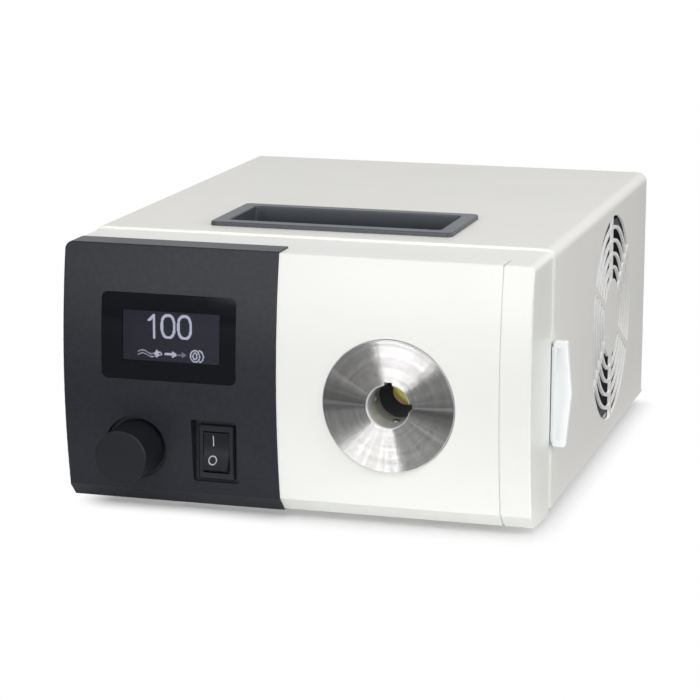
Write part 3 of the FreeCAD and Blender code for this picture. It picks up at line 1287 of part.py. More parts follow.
def filter_drawer():
    """Carriage plate with a seat for the filter, and the pinch grip outside the cover."""
    right = cover_side + GRIP_COVER_GAP
    plate = block((drawer_left, right), (drawer_front, drawer_back), (drawer_low, drawer_high))

    def tail_corner(edge, middle):
        return runs_along(edge, AY) and middle.x < drawer_left + 1

    plate = plate.makeFillet(2 * GRIP_CORNER, edges_near(plate, tail_corner))
    y0 = drawer_front - GRIP_LEAD
    y1 = y0 + GRIP_SHEET
    grip = grip_body(y0, y1)
    grip = grip.makeFillet(GRIP_EDGE, edges_near(grip, lambda e, m: min(abs(m.y - y0), abs(m.y - y1)) < 0.01))
    neck_low = GRIP_HEIGHT - GRIP_NECK / 2
    neck_x = (right - 1, right + GRIP_END / 2)
    neck = block(neck_x, (y1 - GRIP_SCOOP, drawer_back), (neck_low, neck_low + GRIP_NECK))
    lip_back = COVER_FRONT - GRIP_COVER_GAP
    lip_x = (moulding_side + GRIP_COVER_GAP, right + GRIP_CORNER)
    lip = block(lip_x, (lip_back - GRIP_LIP, lip_back), (neck_low, neck_low + GRIP_NECK))
    drawer = joined(plate, neck, grip, lip)
    scoop = grip_scoop(y0 - 1, y0 + GRIP_SCOOP)
    light = rod(port_point(drawer_front - 1), AY, FILTER_RADIUS - FILTER_SEAT, DRAWER_SHEET + 2)
    seat = rod(port_point(drawer_front - 1), AY, FILTER_RADIUS + FILTER_GAP, FILTER_SHEET + 2)
    return drawer.cut([scoop, light, seat])


def filter_glass():
    return rod(port_point(drawer_front + 1.0), AY, FILTER_RADIUS, FILTER_SHEET)


def filter_ring():
    return tube(port_point(drawer_front), AY, FILTER_RADIUS, FILTER_RADIUS - FILTER_SEAT, 1.0)


def drawer_guide():
    """A channel on the bulkhead: back plate, two rails and the lips that hold the drawer in."""
    x = (drawer_left - 2, inner_side - SPIGOT_GAP)
    z = (drawer_low - GUIDE_RAIL, drawer_high + GUIDE_RAIL)
    lip_front = drawer_front - DRAWER_GAP - GUIDE_LIP_SHEET
    body = block(x, (lip_front, bulkhead_front), z)
    channel = block(
        (drawer_left - DRAWER_GAP, cover_side),
        (drawer_front - DRAWER_GAP, drawer_back + DRAWER_GAP),
        (drawer_low - DRAWER_GAP, drawer_high + DRAWER_GAP),
    )
    mouth_z = (drawer_low + GUIDE_LIP, drawer_high - GUIDE_LIP)
    mouth = block((x[0] - 1, cover_side), (lip_front - 1, drawer_front), mouth_z)
    light = rod(port_point(lip_front), AY, LENS_RADIUS - LENS_RING_WIDTH, COVER_FRONT)
    return body.cut([channel, mouth, light])


# ---- Lamp ----------------------------------------------------------------------------------------
def barrel_screw_places():
    circle = (BARREL_RADIUS + BARREL_FLANGE_RADIUS) / 2
    seat = sink_front - BARREL_FLANGE_SHEET
    turns = [math.radians(45 + index * 360.0 / BARREL_SCREWS) for index in range(BARREL_SCREWS)]
    return [port_point(seat) + V(math.cos(a), 0, math.sin(a)) * circle for a in turns]


def lens_barrel():
    inner = LENS_RADIUS + LENS_GAP
    pocket = LAMP_BOARD_RADIUS + LENS_GAP
    pocket_start = BARREL_LENGTH - LAMP_BOARD_SHEET - LENS_GAP
    flange_start = BARREL_LENGTH - BARREL_FLANGE_SHEET
    outline = [
        (inner, 0),
        (BARREL_RADIUS, 0),
        (BARREL_RADIUS, flange_start),
        (BARREL_FLANGE_RADIUS, flange_start),
        (BARREL_FLANGE_RADIUS, BARREL_LENGTH),
        (pocket, BARREL_LENGTH),
        (pocket, pocket_start),
        (inner - BARREL_LEDGE, pocket_start),
        (inner - BARREL_LEDGE, lens_stack_end),
        (inner, lens_stack_end),
    ]
    body = revolved(outline, port_point(bulkhead_back), AY, AX)
    return body.cut([screw_hole(p, AY, BARREL_FLANGE_SHEET + 1) for p in barrel_screw_places()])


front_lens_start = LENS_RING_SHEET
rear_lens_start = front_lens_start + LENS_EDGE + 2 * LENS_DOME + LENS_SPACER
lens_stack_end = rear_lens_start + LENS_EDGE


def lens(flat_y, towards):
    """A plano-convex lens: its flat side lies at flat_y and its dome points along towards."""
    sphere_radius = (LENS_RADIUS**2 + LENS_DOME**2) / (2 * LENS_DOME)
    edge = rod(port_point(flat_y), towards, LENS_RADIUS, LENS_EDGE)
    ball = Part.makeSphere(sphere_radius)
    ball.translate(port_point(flat_y) + towards * (LENS_EDGE + LENS_DOME - sphere_radius))
    cap = ball.common(rod(port_point(flat_y) + towards * LENS_EDGE, towards, LENS_RADIUS, LENS_DOME + 1))
    return joined(edge, cap)


def lenses():
    """The condenser: two equal lenses with their domes towards each other."""
    return group([lens(bulkhead_back + front_lens_start, AY), lens(bulkhead_back + lens_stack_end, -AY)])


def lens_rings():
    """The threaded ring that closes the barrel, and the spacer between the two lenses' edges."""
    thread = LENS_RADIUS + LENS_GAP
    closing = tube(port_point(bulkhead_back), AY, thread, LENS_RADIUS - LENS_RING_WIDTH, LENS_RING_SHEET)
    start = bulkhead_back + front_lens_start + LENS_EDGE
    length = rear_lens_start - front_lens_start - LENS_EDGE
    spacer = tube(port_point(start), AY, LENS_RADIUS, LENS_RADIUS - LENS_SPACER_WALL, length)
    return group([closing, spacer.cut(lenses())])


def lamp_board():
    return rod(port_point(sink_front - LAMP_BOARD_SHEET), AY, LAMP_BOARD_RADIUS, LAMP_BOARD_SHEET)


def lamp_chip():
    """The round light-emitting face in a square ceramic base."""
    base_front = sink_front - LAMP_BOARD_SHEET - LAMP_CHIP_SHEET
    side = 2 * (LAMP_CHIP_RADIUS + LAMP_CHIP_MARGIN)
    base = centred_block(port_point(base_front + LAMP_CHIP_SHEET / 2), (side, LAMP_CHIP_SHEET, side))
    dome = rod(port_point(base_front - LAMP_DOME), AY, LAMP_CHIP_RADIUS, LAMP_DOME)
    return joined(base, dome)


def heat_sink():
    """Base plate standing on the tray, with upright fins behind it."""
    half_w = SINK_WIDTH / 2
    fin_end = sink_front + SINK_BASE + SINK_FIN_LENGTH
    z = (PORT_HEIGHT - SINK_TALL / 2, PORT_HEIGHT + SINK_TALL / 2)
    plate = block((port_x - half_w, port_x + half_w), (sink_front, sink_front + SINK_BASE), (tray_top, z[1]))
    pitch = (SINK_WIDTH - SINK_FIN_SHEET) / (SINK_FINS - 1)
    fins = []
    for index in range(SINK_FINS):
        x0 = port_x - half_w + index * pitch
        fins.append(block((x0, x0 + SINK_FIN_SHEET), (sink_front, fin_end), z))
    holes = [screw_hole(V(p.x, sink_front, p.z), AY, SINK_BASE) for p in barrel_screw_places()]
    holes += [screw_hole(V(p.x, sink_front, p.z), AY, SINK_BASE) for p in angle_screw_places()]
    return joined(plate, *fins).cut(holes)


def angle_screw_places():
    z = tray_top + SINK_ANGLE_SHEET + (SINK_ANGLE_TALL - SINK_ANGLE_SHEET) / 2
    seat = sink_front - SINK_ANGLE_SHEET
    return [V(port_x + s * SINK_ANGLE_SCREW_PITCH / 2, seat, z) for s in (-1, 1)]


def sink_angle():
    half = SINK_ANGLE_WIDTH / 2
    x = (port_x - half, port_x + half)
    upright = block(x, (sink_front - SINK_ANGLE_SHEET, sink_front), (tray_top, tray_top + SINK_ANGLE_TALL))
    foot = block(x, (sink_front - SINK_ANGLE_DEPTH, sink_front), (tray_top, tray_top + SINK_ANGLE_SHEET))
    return joined(upright, foot).cut([screw_hole(p, AY, SINK_ANGLE_SHEET + 1) for p in angle_screw_places()])


def lamp_screws():
    screws = [screw(p, AY, BARREL_FLANGE_SHEET + SINK_BASE * 0.7) for p in barrel_screw_places()]
    return group(screws + [screw(p, AY, SINK_ANGLE_SHEET + SINK_BASE * 0.7) for p in angle_screw_places()])


# ---- Fan -----------------------------------------------------------------------------------------
def fan_corner_places(x):
    half = FAN_HOLE_SPACING / 2
    return [V(x, fan_y + s * half, FAN_HEIGHT + t * half) for s in (-1, 1) for t in (-1, 1)]


def fan_frame():
    """Square flanges at both faces, a round duct between them, and the motor's seat on its arms."""
    half = FAN_SIZE / 2
    y = (fan_y - half, fan_y + half)
    z = (FAN_HEIGHT - half, FAN_HEIGHT + half)
    ends = ((fan_left, fan_left + FAN_FLANGE), (fan_right - FAN_FLANGE, fan_right))
    flanges = [rounded_block(x, y, z, AX, FAN_CORNER) for x in ends]
    duct = rod(fan_centre(fan_left), AX, half, FAN_DEPTH)
    body = joined(duct, *flanges).cut(rod(fan_centre(fan_left - 1), AX, FAN_BORE_RADIUS, FAN_DEPTH + 2))
    body = body.cut([rod(p, AX, FAN_HOLE_RADIUS, FAN_DEPTH + 2) for p in fan_corner_places(fan_left - 1)])
    seat = rod(fan_centre(fan_left), AX, FAN_HUB_RADIUS, FAN_SEAT)
    stem = rod(fan_centre(fan_left), AX, FAN_STEM_RADIUS, FAN_STEM_LENGTH)
    arm = block(
        (fan_left, fan_left + FAN_SEAT),
        (fan_y - FAN_ARM_WIDTH / 2, fan_y + FAN_ARM_WIDTH / 2),
        (FAN_HEIGHT + FAN_HUB_RADIUS - 1, FAN_HEIGHT + FAN_BORE_RADIUS + 1),
    )
    frame = joined(body, seat, stem, *around(arm, fan_centre(0), AX, FAN_ARMS, FAN_ARM_TURN))
    bearing = rod(fan_centre(fan_left + 1), AX, FAN_SHAFT_RADIUS + SHAFT_CLEARANCE, FAN_DEPTH)
    return frame.cut(bearing)


hub_start = fan_left + FAN_SEAT + FAN_AIR_GAP
hub_end = fan_right - 4 * FAN_AIR_GAP


def fan_motor():
    """The wound stator, fixed on the frame's stem inside the impeller's hub."""
    start = hub_start + FAN_AIR_GAP
    ring = tube(fan_centre(start), AX, FAN_MOTOR_RADIUS, FAN_STEM_RADIUS, FAN_MOTOR_LENGTH)
    slot_floor = FAN_HEIGHT + FAN_MOTOR_RADIUS - FAN_MOTOR_SLOT_DEPTH
    slot = block(
        (fan_left, fan_right),
        (fan_y - FAN_MOTOR_SLOT / 2, fan_y + FAN_MOTOR_SLOT / 2),
        (slot_floor, FAN_HEIGHT + 2 * FAN_MOTOR_RADIUS),
    )
    return ring.cut(around(slot, fan_centre(0), AX, FAN_ARMS, 45))


def blade_section(radius):
    """One blade's section at a radius: a slanted strip, flatter towards the tip."""
    share = (radius - FAN_HUB_RADIUS) / (FAN_BORE_RADIUS - FAN_HUB_RADIUS)
    pitch = math.radians(FAN_BLADE_PITCH_ROOT + (FAN_BLADE_PITCH_TIP - FAN_BLADE_PITCH_ROOT) * share)
    along = V(math.cos(pitch), math.sin(pitch), 0) * (FAN_BLADE_CHORD / 2)
    across = V(-math.sin(pitch), math.cos(pitch), 0) * (FAN_BLADE_SHEET / 2)
    centre = V((hub_start + hub_end) / 2, fan_y, FAN_HEIGHT + radius)
    signs = ((-1, -1), (1, -1), (1, 1), (-1, 1), (-1, -1))
    return Part.makePolygon([centre + along * s + across * t for s, t in signs])


def fan_impeller():
    """A cup-shaped hub over the motor, with the blades round it."""
    length = hub_end - hub_start
    cup = rod(fan_centre(hub_start - 1), AX, FAN_HUB_RADIUS - FAN_HUB_WALL, length + 1 - FAN_HUB_WALL)
    hub = rod(fan_centre(hub_start), AX, FAN_HUB_RADIUS, length)
    hub = hub.makeFillet(FAN_HUB_EDGE, edges_near(hub, lambda e, m: m.x > hub_end - 0.01))
    root = blade_section(FAN_HUB_RADIUS - FAN_HUB_WALL / 2)
    tip = blade_section(FAN_BORE_RADIUS + FAN_TIP_GAP)
    swept = rod(fan_centre(fan_left), AX, FAN_BORE_RADIUS - FAN_TIP_GAP, FAN_DEPTH)
    blade = Part.makeLoft([root, tip], True, True).common(swept)
    impeller = joined(hub, *around(blade, fan_centre(0), AX, FAN_BLADES))
    return impeller.cut([cup, rod(fan_centre(fan_left), AX, FAN_SHAFT_RADIUS, FAN_DEPTH + 1)])


def fan_shaft():
    start = fan_left + FAN_SEAT / 2
    return rod(fan_centre(start), AX, FAN_SHAFT_RADIUS, hub_end - start)


def fan_bracket():
    """Upright sheet with a round opening and a foot on the tray."""
    half = FAN_SIZE / 2 + FAN_BRACKET_MARGIN
    x = (fan_left - FAN_BRACKET_SHEET, fan_left)
    y = (fan_y - half, fan_y + half)
    plate = block(x, y, (tray_top, FAN_HEIGHT + FAN_SIZE / 2))
    foot = block((x[0] - FAN_BRACKET_FOOT, x[1]), y, (tray_top, tray_top + FAN_BRACKET_SHEET))
    opening = rod(fan_centre(x[0] - 1), AX, FAN_BORE_RADIUS, FAN_BRACKET_SHEET + 2)
    holes = [screw_hole(p, AX, 2 * FAN_BRACKET_SHEET) for p in fan_corner_places(x[0])]
    return joined(plate, foot).cut([opening] + holes)


def fan_screws():
    seat = fan_left - FAN_BRACKET_SHEET
    return group([screw(p, AX, FAN_DEPTH) for p in fan_corner_places(seat)])


# ---- Mains side ----------------------------------------------------------------------------------
def inlet_point(x, y, z):
    return V(inlet_x + x, y, INLET_HEIGHT + z)


def inlet_block(width, tall, y, rise=0.0):
    low = INLET_HEIGHT + rise - tall / 2
    return block((inlet_x - width / 2, inlet_x + width / 2), y, (low, low + tall))


def inlet_screw_places():
    return [inlet_point(s * INLET_SCREW_PITCH, inlet_back, 0) for s in (-1, 1)]


def mains_inlet():
    """Inlet moulding: flange outside the rear panel, a chamfered socket and a slot for the fuse drawer."""
    flange = inlet_block(INLET_FLANGE_WIDTH, INLET_FLANGE_TALL, (rear_back, inlet_back))
    flange = flange.makeFillet(INLET_FLANGE_CORNER, [e for e in flange.Edges if runs_along(e, AY)])
    body = inlet_block(INLET_BODY_WIDTH, INLET_BODY_TALL, (inlet_back - INLET_BODY_DEPTH, inlet_back - 1))
    half_w, half_t = INLET_SOCKET_WIDTH / 2, INLET_SOCKET_TALL / 2
    c = INLET_SOCKET_CHAMFER
    right = [(half_w, -half_t), (half_w, half_t - c), (half_w - c, half_t)]
    outline = right + [(-x, z) for x, z in reversed(right)]
    corners = [inlet_point(x, inlet_back + 1, z + INLET_SOCKET_RISE) for x, z in outline]
    socket = Part.Face(Part.makePolygon(corners + [corners[0]])).extrude(-AY * (INLET_SOCKET_DEPTH + 1))
    gap = FUSE_DRAWER_GAP
    slot_y = (inlet_back - FUSE_DRAWER_DEPTH - gap, inlet_back + 1)
    slot = inlet_block(FUSE_DRAWER_WIDTH + 2 * gap, FUSE_DRAWER_TALL + 2 * gap, slot_y, -FUSE_DRAWER_DROP)
    pins = [contact_pin(p) for p in pin_centres()]
    holes = [screw_hole(p, -AY, INLET_FLANGE_SHEET + 2) for p in inlet_screw_places()]
    return joined(flange, body).cut([socket, slot] + pins + holes)


def pin_centres():
    """Centres of the three contact pins, which reach from inside the moulding into the socket."""
    y = inlet_back - INLET_SOCKET_DEPTH + INLET_PIN_LENGTH - (INLET_PIN_LENGTH + INLET_PIN_ROOT) / 2
    rise = INLET_SOCKET_RISE
    return [
        inlet_point(-INLET_PIN_PITCH, y, rise - INLET_EARTH_RISE),
        inlet_point(INLET_PIN_PITCH, y, rise - INLET_EARTH_RISE),
        inlet_point(0, y, rise + INLET_EARTH_RISE),
    ]


def contact_pin(centre):
    return centred_block(centre, (INLET_PIN_WIDTH, INLET_PIN_LENGTH + INLET_PIN_ROOT, INLET_PIN_TALL))


def inlet_pins():
    return group([contact_pin(p) for p in pin_centres()])


def inlet_screws():
    return group([screw(p, -AY, INLET_SCREW_LENGTH) for p in inlet_screw_places()])


def fuse_drawer():
    """A small drawer below the socket: front plate with a finger lip, and two troughs for the fuses."""
    y = (inlet_back - FUSE_DRAWER_DEPTH, inlet_back)
    body = inlet_block(FUSE_DRAWER_WIDTH, FUSE_DRAWER_TALL, y, -FUSE_DRAWER_DROP)
    lip_y = (inlet_back, inlet_back + FUSE_DRAWER_LIP_DEPTH)
    lip = inlet_block(FUSE_DRAWER_LIP_WIDTH, FUSE_DRAWER_LIP, lip_y, -FUSE_DRAWER_DROP)
    troughs = []
    for place in fuse_places():
        start = place - AY * FUSE_END_GAP
        length = FUSE_LENGTH + 2 * FUSE_END_GAP
        troughs.append(rod(start, AY, FUSE_RADIUS, length))
        above = start + AZ * (FUSE_DRAWER_TALL / 2) + AY * (length / 2)
        troughs.append(centred_block(above, (2 * FUSE_RADIUS, length, FUSE_DRAWER_TALL)))
    return joined(body, lip).cut(troughs)


def fuse_places():
    y = inlet_back - FUSE_DRAWER_DEPTH + FUSE_END_WALL
    z = INLET_HEIGHT - FUSE_DRAWER_DROP
    return [V(inlet_x + s * FUSE_SPREAD / 2, y, z) for s in (-1, 1)]


def fuses():
    return group([rod(p, AY, FUSE_RADIUS, FUSE_LENGTH) for p in fuse_places()])


supply_x = (SUPPLY_FROM_LEFT - inner_side, SUPPLY_FROM_LEFT - inner_side + SUPPLY_WIDTH)
supply_y = (cover_rear - SUPPLY_FROM_REAR - SUPPLY_LENGTH, cover_rear - SUPPLY_FROM_REAR)
supply_bottom = tray_top + SUPPLY_RISE
supply_top = supply_bottom + BOARD_SHEET
driver_x = (DRIVER_FROM_LEFT - inner_side, DRIVER_FROM_LEFT - inner_side + DRIVER_WIDTH)
driver_front = bulkhead_back + BULKHEAD_FLANGE + DRIVER_GAP
driver_y = (driver_front, driver_front + DRIVER_LENGTH)


def board_holes(x, y, z):
    """The centres of a board's four corner holes."""
    inset = SUPPLY_HOLE_INSET
    return [V(px, py, z) for px in (x[0] + inset, x[1] - inset) for py in (y[0] + inset, y[1] - inset)]


def standoff_places():
    """Centres of the posts under the supply board and the lamp driver board."""
    return board_holes(supply_x, supply_y, tray_bottom) + board_holes(driver_x, driver_y, tray_bottom)


def standoffs():
    posts = []
    for place in standoff_places():
        start = V(place.x, place.y, tray_top)
        posts.append(tube(start, AZ, STANDOFF_RADIUS, SCREW_RADIUS + SCREW_CLEARANCE, SUPPLY_RISE))
    return group(posts)


def board_screws():
    """One screw down through the board and one up through the tray at each standoff."""
    screws = []
    for p in standoff_places():
        screws.append(screw(V(p.x, p.y, supply_top), -AZ, BOARD_SHEET + STANDOFF_THREAD))
        screws.append(screw(V(p.x, p.y, tray_bottom), AZ, TRAY_SHEET + STANDOFF_THREAD))
    return group(screws)


def circuit_board(x, y):
    board = block(x, y, (supply_bottom, supply_top))
    return board.cut([screw_hole(p, -AZ, 2 * BOARD_SHEET) for p in board_holes(x, y, supply_top)])


def supply_board():
    return circuit_board(supply_x, supply_y)


def supply_transformer():
    """Ferrite core around a wound bobbin."""
    wide, deep, tall = TRANSFORMER
    centre = V(sum(supply_x) / 2, sum(supply_y) / 2, supply_top + tall / 2)
    core = centred_block(centre, (wide, TRANSFORMER_CORE, tall))
    winding = centred_block(centre, (TRANSFORMER_WINDING[0], deep, TRANSFORMER_WINDING[1]))
    winding = winding.makeFillet(TRANSFORMER_CORNER, [e for e in winding.Edges if runs_along(e, AX)])
    return joined(core, winding)


def supply_capacitors():
    cans = []
    y = supply_y[0] + CAPACITOR_FROM_EDGE
    for index in range(CAPACITORS):
        x = sum(supply_x) / 2 + (index - (CAPACITORS - 1) / 2) * CAPACITOR_PITCH
        can = rod(V(x, y, supply_top), AZ, CAPACITOR_RADIUS, CAPACITOR_TALL)
        top = supply_top + CAPACITOR_TALL
        cans.append(can.makeChamfer(CAPACITOR_EDGE, edges_near(can, lambda e, m: m.z > top - 0.1)))
    return group(cans)


def driver_board():
    board = circuit_board(driver_x, driver_y)
    centre = V(sum(driver_x) / 2, sum(driver_y) / 2, supply_top)
    coil = tube(centre, AZ, COIL_RADIUS, COIL_HOLE, COIL_TALL)
    return joined(board, coil)


# ---- Every node, by name -------------------------------------------------------------------------
NODES = {
    "top_cover": top_cover,
    "front_frame": front_frame,
    "control_panel": control_panel,
    "port_panel": port_panel,
    "front_bulkhead": front_bulkhead,
    "base_tray": base_tray,
    "rear_panel": rear_panel,
    "rubber_feet": rubber_feet,
    "feet_screws": feet_screws,
    "cover_screws": cover_screws,
    "chassis_screws": chassis_screws,
    "handle_cup": handle_cup,
    "display_window": display_window,
    "display_module": display_module,
    "control_board": control_board,
    "knob": knob,
    "knob_grub_screw": knob_grub_screw,
    "encoder_shaft": encoder_shaft,
    "encoder_wheel": encoder_wheel,
    "encoder_body": encoder_body,
    "encoder_nut": encoder_nut,
    "switch_body": switch_body,
    "switch_rocker": switch_rocker,
    "switch_terminals": switch_terminals,
    "port_flange": port_flange,
    "port_baffle": port_baffle,
    "detent_ball_low": lambda: detent_ball(-AZ),
    "detent_ball_side": lambda: detent_ball(-AX),
    "detent_spring_low": lambda: detent_spring(-AZ),
    "detent_spring_side": lambda: detent_spring(-AX),
    "detent_screws": detent_screws,
    "filter_drawer": filter_drawer,
    "filter_glass": filter_glass,
    "filter_ring": filter_ring,
    "drawer_guide": drawer_guide,
    "lens_barrel": lens_barrel,
    "lenses": lenses,
    "lens_rings": lens_rings,
    "lamp_board": lamp_board,
    "lamp_chip": lamp_chip,
    "heat_sink": heat_sink,
    "sink_angle": sink_angle,
    "lamp_screws": lamp_screws,
    "fan_frame": fan_frame,
    "fan_motor": fan_motor,
    "fan_impeller": fan_impeller,
    "fan_shaft": fan_shaft,
    "fan_bracket": fan_bracket,
    "fan_screws": fan_screws,
    "mains_inlet": mains_inlet,
    "inlet_pins": inlet_pins,
    "inlet_screws": inlet_screws,
    "fuse_drawer": fuse_drawer,
    "fuses": fuses,
    "standoffs": standoffs,
    "board_screws": board_screws,
    "supply_board": supply_board,
    "supply_transformer": supply_transformer,
    "supply_capacitors": supply_capacitors,
    "driver_board": driver_board,
}


def place(shape):
    """The piece in the part's own frame, with the origin below the middle of the whole object."""
    moved = shape.copy()
    moved.translate(-origin)
    return moved


os.makedirs("parts", exist_ok=True)
for name, make in NODES.items():
    place(make()).exportStep(f"parts/{name}.step")
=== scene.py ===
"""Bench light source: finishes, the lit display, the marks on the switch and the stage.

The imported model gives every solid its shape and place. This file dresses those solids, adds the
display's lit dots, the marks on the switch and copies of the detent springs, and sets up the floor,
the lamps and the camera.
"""

import math

import bmesh
import bpy
from mathutils import Matrix, Vector
from mathutils.bvhtree import BVHTree


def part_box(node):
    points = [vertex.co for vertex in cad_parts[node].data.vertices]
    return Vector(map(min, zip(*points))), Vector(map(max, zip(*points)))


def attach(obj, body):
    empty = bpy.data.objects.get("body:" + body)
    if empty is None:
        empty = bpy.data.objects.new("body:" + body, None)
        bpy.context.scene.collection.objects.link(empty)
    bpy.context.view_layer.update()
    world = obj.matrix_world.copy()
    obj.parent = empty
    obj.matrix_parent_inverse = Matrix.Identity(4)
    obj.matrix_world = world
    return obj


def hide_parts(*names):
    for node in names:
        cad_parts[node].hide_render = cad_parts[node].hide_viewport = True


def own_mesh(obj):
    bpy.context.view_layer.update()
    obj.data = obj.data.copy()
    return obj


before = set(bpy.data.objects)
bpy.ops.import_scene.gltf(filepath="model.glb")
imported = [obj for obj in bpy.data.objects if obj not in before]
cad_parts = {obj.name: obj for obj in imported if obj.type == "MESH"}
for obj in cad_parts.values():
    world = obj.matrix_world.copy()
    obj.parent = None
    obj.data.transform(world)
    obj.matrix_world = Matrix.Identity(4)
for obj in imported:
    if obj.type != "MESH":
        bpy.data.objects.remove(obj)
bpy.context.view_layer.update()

bl_info = {
    "name": "Bench light source",
    "version": (1, 0, 0),
    "blender": (4, 5, 0),
    "location": "View3D > Sidebar > Light source",
    "description": "Finishes, display picture, switch marks and stage of a bench light source",
    "category": "Object",
}

HOUSING = "housing"


# ---- Colours and values ----
def shade(red, green, blue):
    """A colour from 0 to 255 per channel, as the linear values that shaders use."""

    def linear(level):
        level = level / 255
        return level / 12.92 if level <= 0.04045 else ((level + 0.055) / 1.055) ** 2.4

    return linear(red), linear(green), linear(blue)


def opaque(colour):
    return (*colour, 1.0)


def arithmetic(operation, swapped=False):
    """A method of Value that adds a Math node for two terms, in order or swapped."""

    def apply(self, other):
        terms = (other, self) if swapped else (self, other)
        return self.math(operation, *terms)

    return apply


class Value:
    """One output of a graph's nodes; arithmetic on it adds the Math nodes."""

    def __init__(self, graph, socket):
        self.graph = graph
        self.socket = socket

    def math(self, operation, *terms):
        return self.graph.node("ShaderNodeMath", {"operation": operation}, dict(enumerate(terms)))

    __add__ = arithmetic("ADD")
    __radd__ = arithmetic("ADD", swapped=True)
    __sub__ = arithmetic("SUBTRACT")
    __rsub__ = arithmetic("SUBTRACT", swapped=True)
    __mul__ = arithmetic("MULTIPLY")
    __rmul__ = arithmetic("MULTIPLY", swapped=True)
    __truediv__ = arithmetic("DIVIDE")
    __mod__ = arithmetic("FLOORED_MODULO")
    above = arithmetic("GREATER_THAN")
    below = arithmetic("LESS_THAN")
    at_least = arithmetic("MAXIMUM")
    at_most = arithmetic("MINIMUM")

    def __neg__(self):
        return self * -1.0

    def __abs__(self):
        return self.math("ABSOLUTE", self)

    def root(self):
        return self.math("SQRT", self)

    def floor(self):
        return self.math("FLOOR", self)

    def eased(self, start, end):
        """0 before start, 1 after end, and smooth between them."""
        settings = {"interpolation_type": "SMOOTHSTEP"}
        inputs = {"Value": self, "From Min": start, "From Max": end}
        return self.graph.node("ShaderNodeMapRange", settings, inputs, "Result")


class Graph:
    """The nodes of a material, of the surroundings or of a geometry tree."""

    def __init__(self, tree):
        self.nodes = tree.nodes
        self.links = tree.links

    def feed(self, socket, value):
        if isinstance(value, Value):
            self.links.new(value.socket, socket)
        else:
            socket.default_value = value

    def node(self, kind, settings=None, inputs=None, output=0):
        made = self.nodes.new(kind)
        for name, value in (settings or {}).items():
            if name == "stops":
                ramp = made.color_ramp
                while len(ramp.elements) < len(value):
                    ramp.elements.new(1.0)
                for element, (position, colour) in zip(ramp.elements, value):
                    element.position = position
                    element.color = opaque(colour)
            else:
                setattr(made, name, value)
        for name, value in (inputs or {}).items():
            self.feed(made.inputs[name], value)
        return Value(self, made.outputs[output])

    def place(self, kind="Object"):
        """The point on the piece, or another kind of coordinates."""
        return self.node("ShaderNodeTexCoord", output=kind)

    def ray(self, kind):
        """1 for rays of one kind, 0 for others."""
        return self.node("ShaderNodeLightPath", output=kind)

    def axes(self, vector=None):
        """The three coordinates of a vector, by default of place()."""
        split = self.node("ShaderNodeSeparateXYZ", inputs={0: vector or self.place()}).socket.node
        return [Value(self, socket) for socket in split.outputs]


class Surface(Graph):
    """A material and its nodes, with one principled shader at the end."""

    def __init__(self, name, **constants):
        self.material = bpy.data.materials.new(name)
        self.material.use_nodes = True
        super().__init__(self.material.node_tree)
        self.shader = self.nodes["Principled BSDF"]
        self.finish(**constants)

    def finish(self, **inputs):
        """Sets or links the shader's sockets, with _ for a space in a socket's name.

        Gives back the material.
        """
        for name, value in inputs.items():
            self.feed(self.shader.inputs[name.replace("_", " ")], value)
        return self.material

    def facing(self):
        """The three parts of the direction that the surface faces."""
        return self.axes(self.node("ShaderNodeNewGeometry", output="Normal"))

    def vector(self, x, y, z):
        return self.node("ShaderNodeCombineXYZ", inputs={0: x, 1: y, 2: z})

    def vectors(self, operation, *terms, output=0):
        return self.node("ShaderNodeVectorMath", {"operation": operation}, dict(enumerate(terms)), output)

    def scaled(self, vector, factor):
        return self.node("ShaderNodeVectorMath", {"operation": "SCALE"}, {0: vector, "Scale": factor})

    def stretched(self, x, y, z):
        """The point on the piece, with each axis scaled, for patterns that run along one axis."""
        return self.vectors("MULTIPLY", self.place(), (x, y, z))

    def noise(self, size, detail=2.0, roughness=0.5, vector=None):
        """Cloudy values about 0.5; size is the width of one cloud in metres."""
        place = vector or self.place()
        inputs = {"Vector": place, "Scale": 1 / size, "Detail": detail, "Roughness": roughness}
        return self.node("ShaderNodeTexNoise", {}, inputs, "Fac")

    def line_noise(self, along, size, detail=2.0):
        """Noise along one value only, so that it makes lines across it."""
        inputs = {"W": along, "Scale": 1 / size, "Detail": detail, "Roughness": 0.6}
        return self.node("ShaderNodeTexNoise", {"noise_dimensions": "1D"}, inputs, "Fac")

    def cells(self, size, output="Distance"):
        inputs = {"Vector": self.place(), "Scale": 1 / size}
        return self.node("ShaderNodeTexVoronoi", {}, inputs, output)

    def blend(self, factor, first, second):
        """Mixes two colours; each is a value or a plain colour."""
        colours = [c if isinstance(c, Value) else opaque(c) for c in (first, second)]
        inputs = {0: factor, 6: colours[0], 7: colours[1]}
        return self.node("ShaderNodeMix", {"data_type": "RGBA"}, inputs, 2)

    def ramp(self, factor, *stops):
        return self.node("ShaderNodeValToRGB", {"stops": stops}, {"Fac": factor}, "Color")

    def relief(self, height, depth):
        """A bump whose full height is depth metres."""
        inputs = {"Height": height, "Distance": depth, "Strength": 1.0}
        return self.node("ShaderNodeBump", {}, inputs, "Normal")

    def distance(self, across, up):
        """How far two offsets lead together."""
        return (across * across + up * up).root()

    def speckled(self, colour, amount, size, **more):
        """A colour that wanders a little lighter and darker over the surface."""
        low = tuple(c * (1 - amount) for c in colour)
        high = tuple(min(1.0, c * (1 + amount)) for c in colour)
        return self.blend(self.noise(size, **more), low, high)


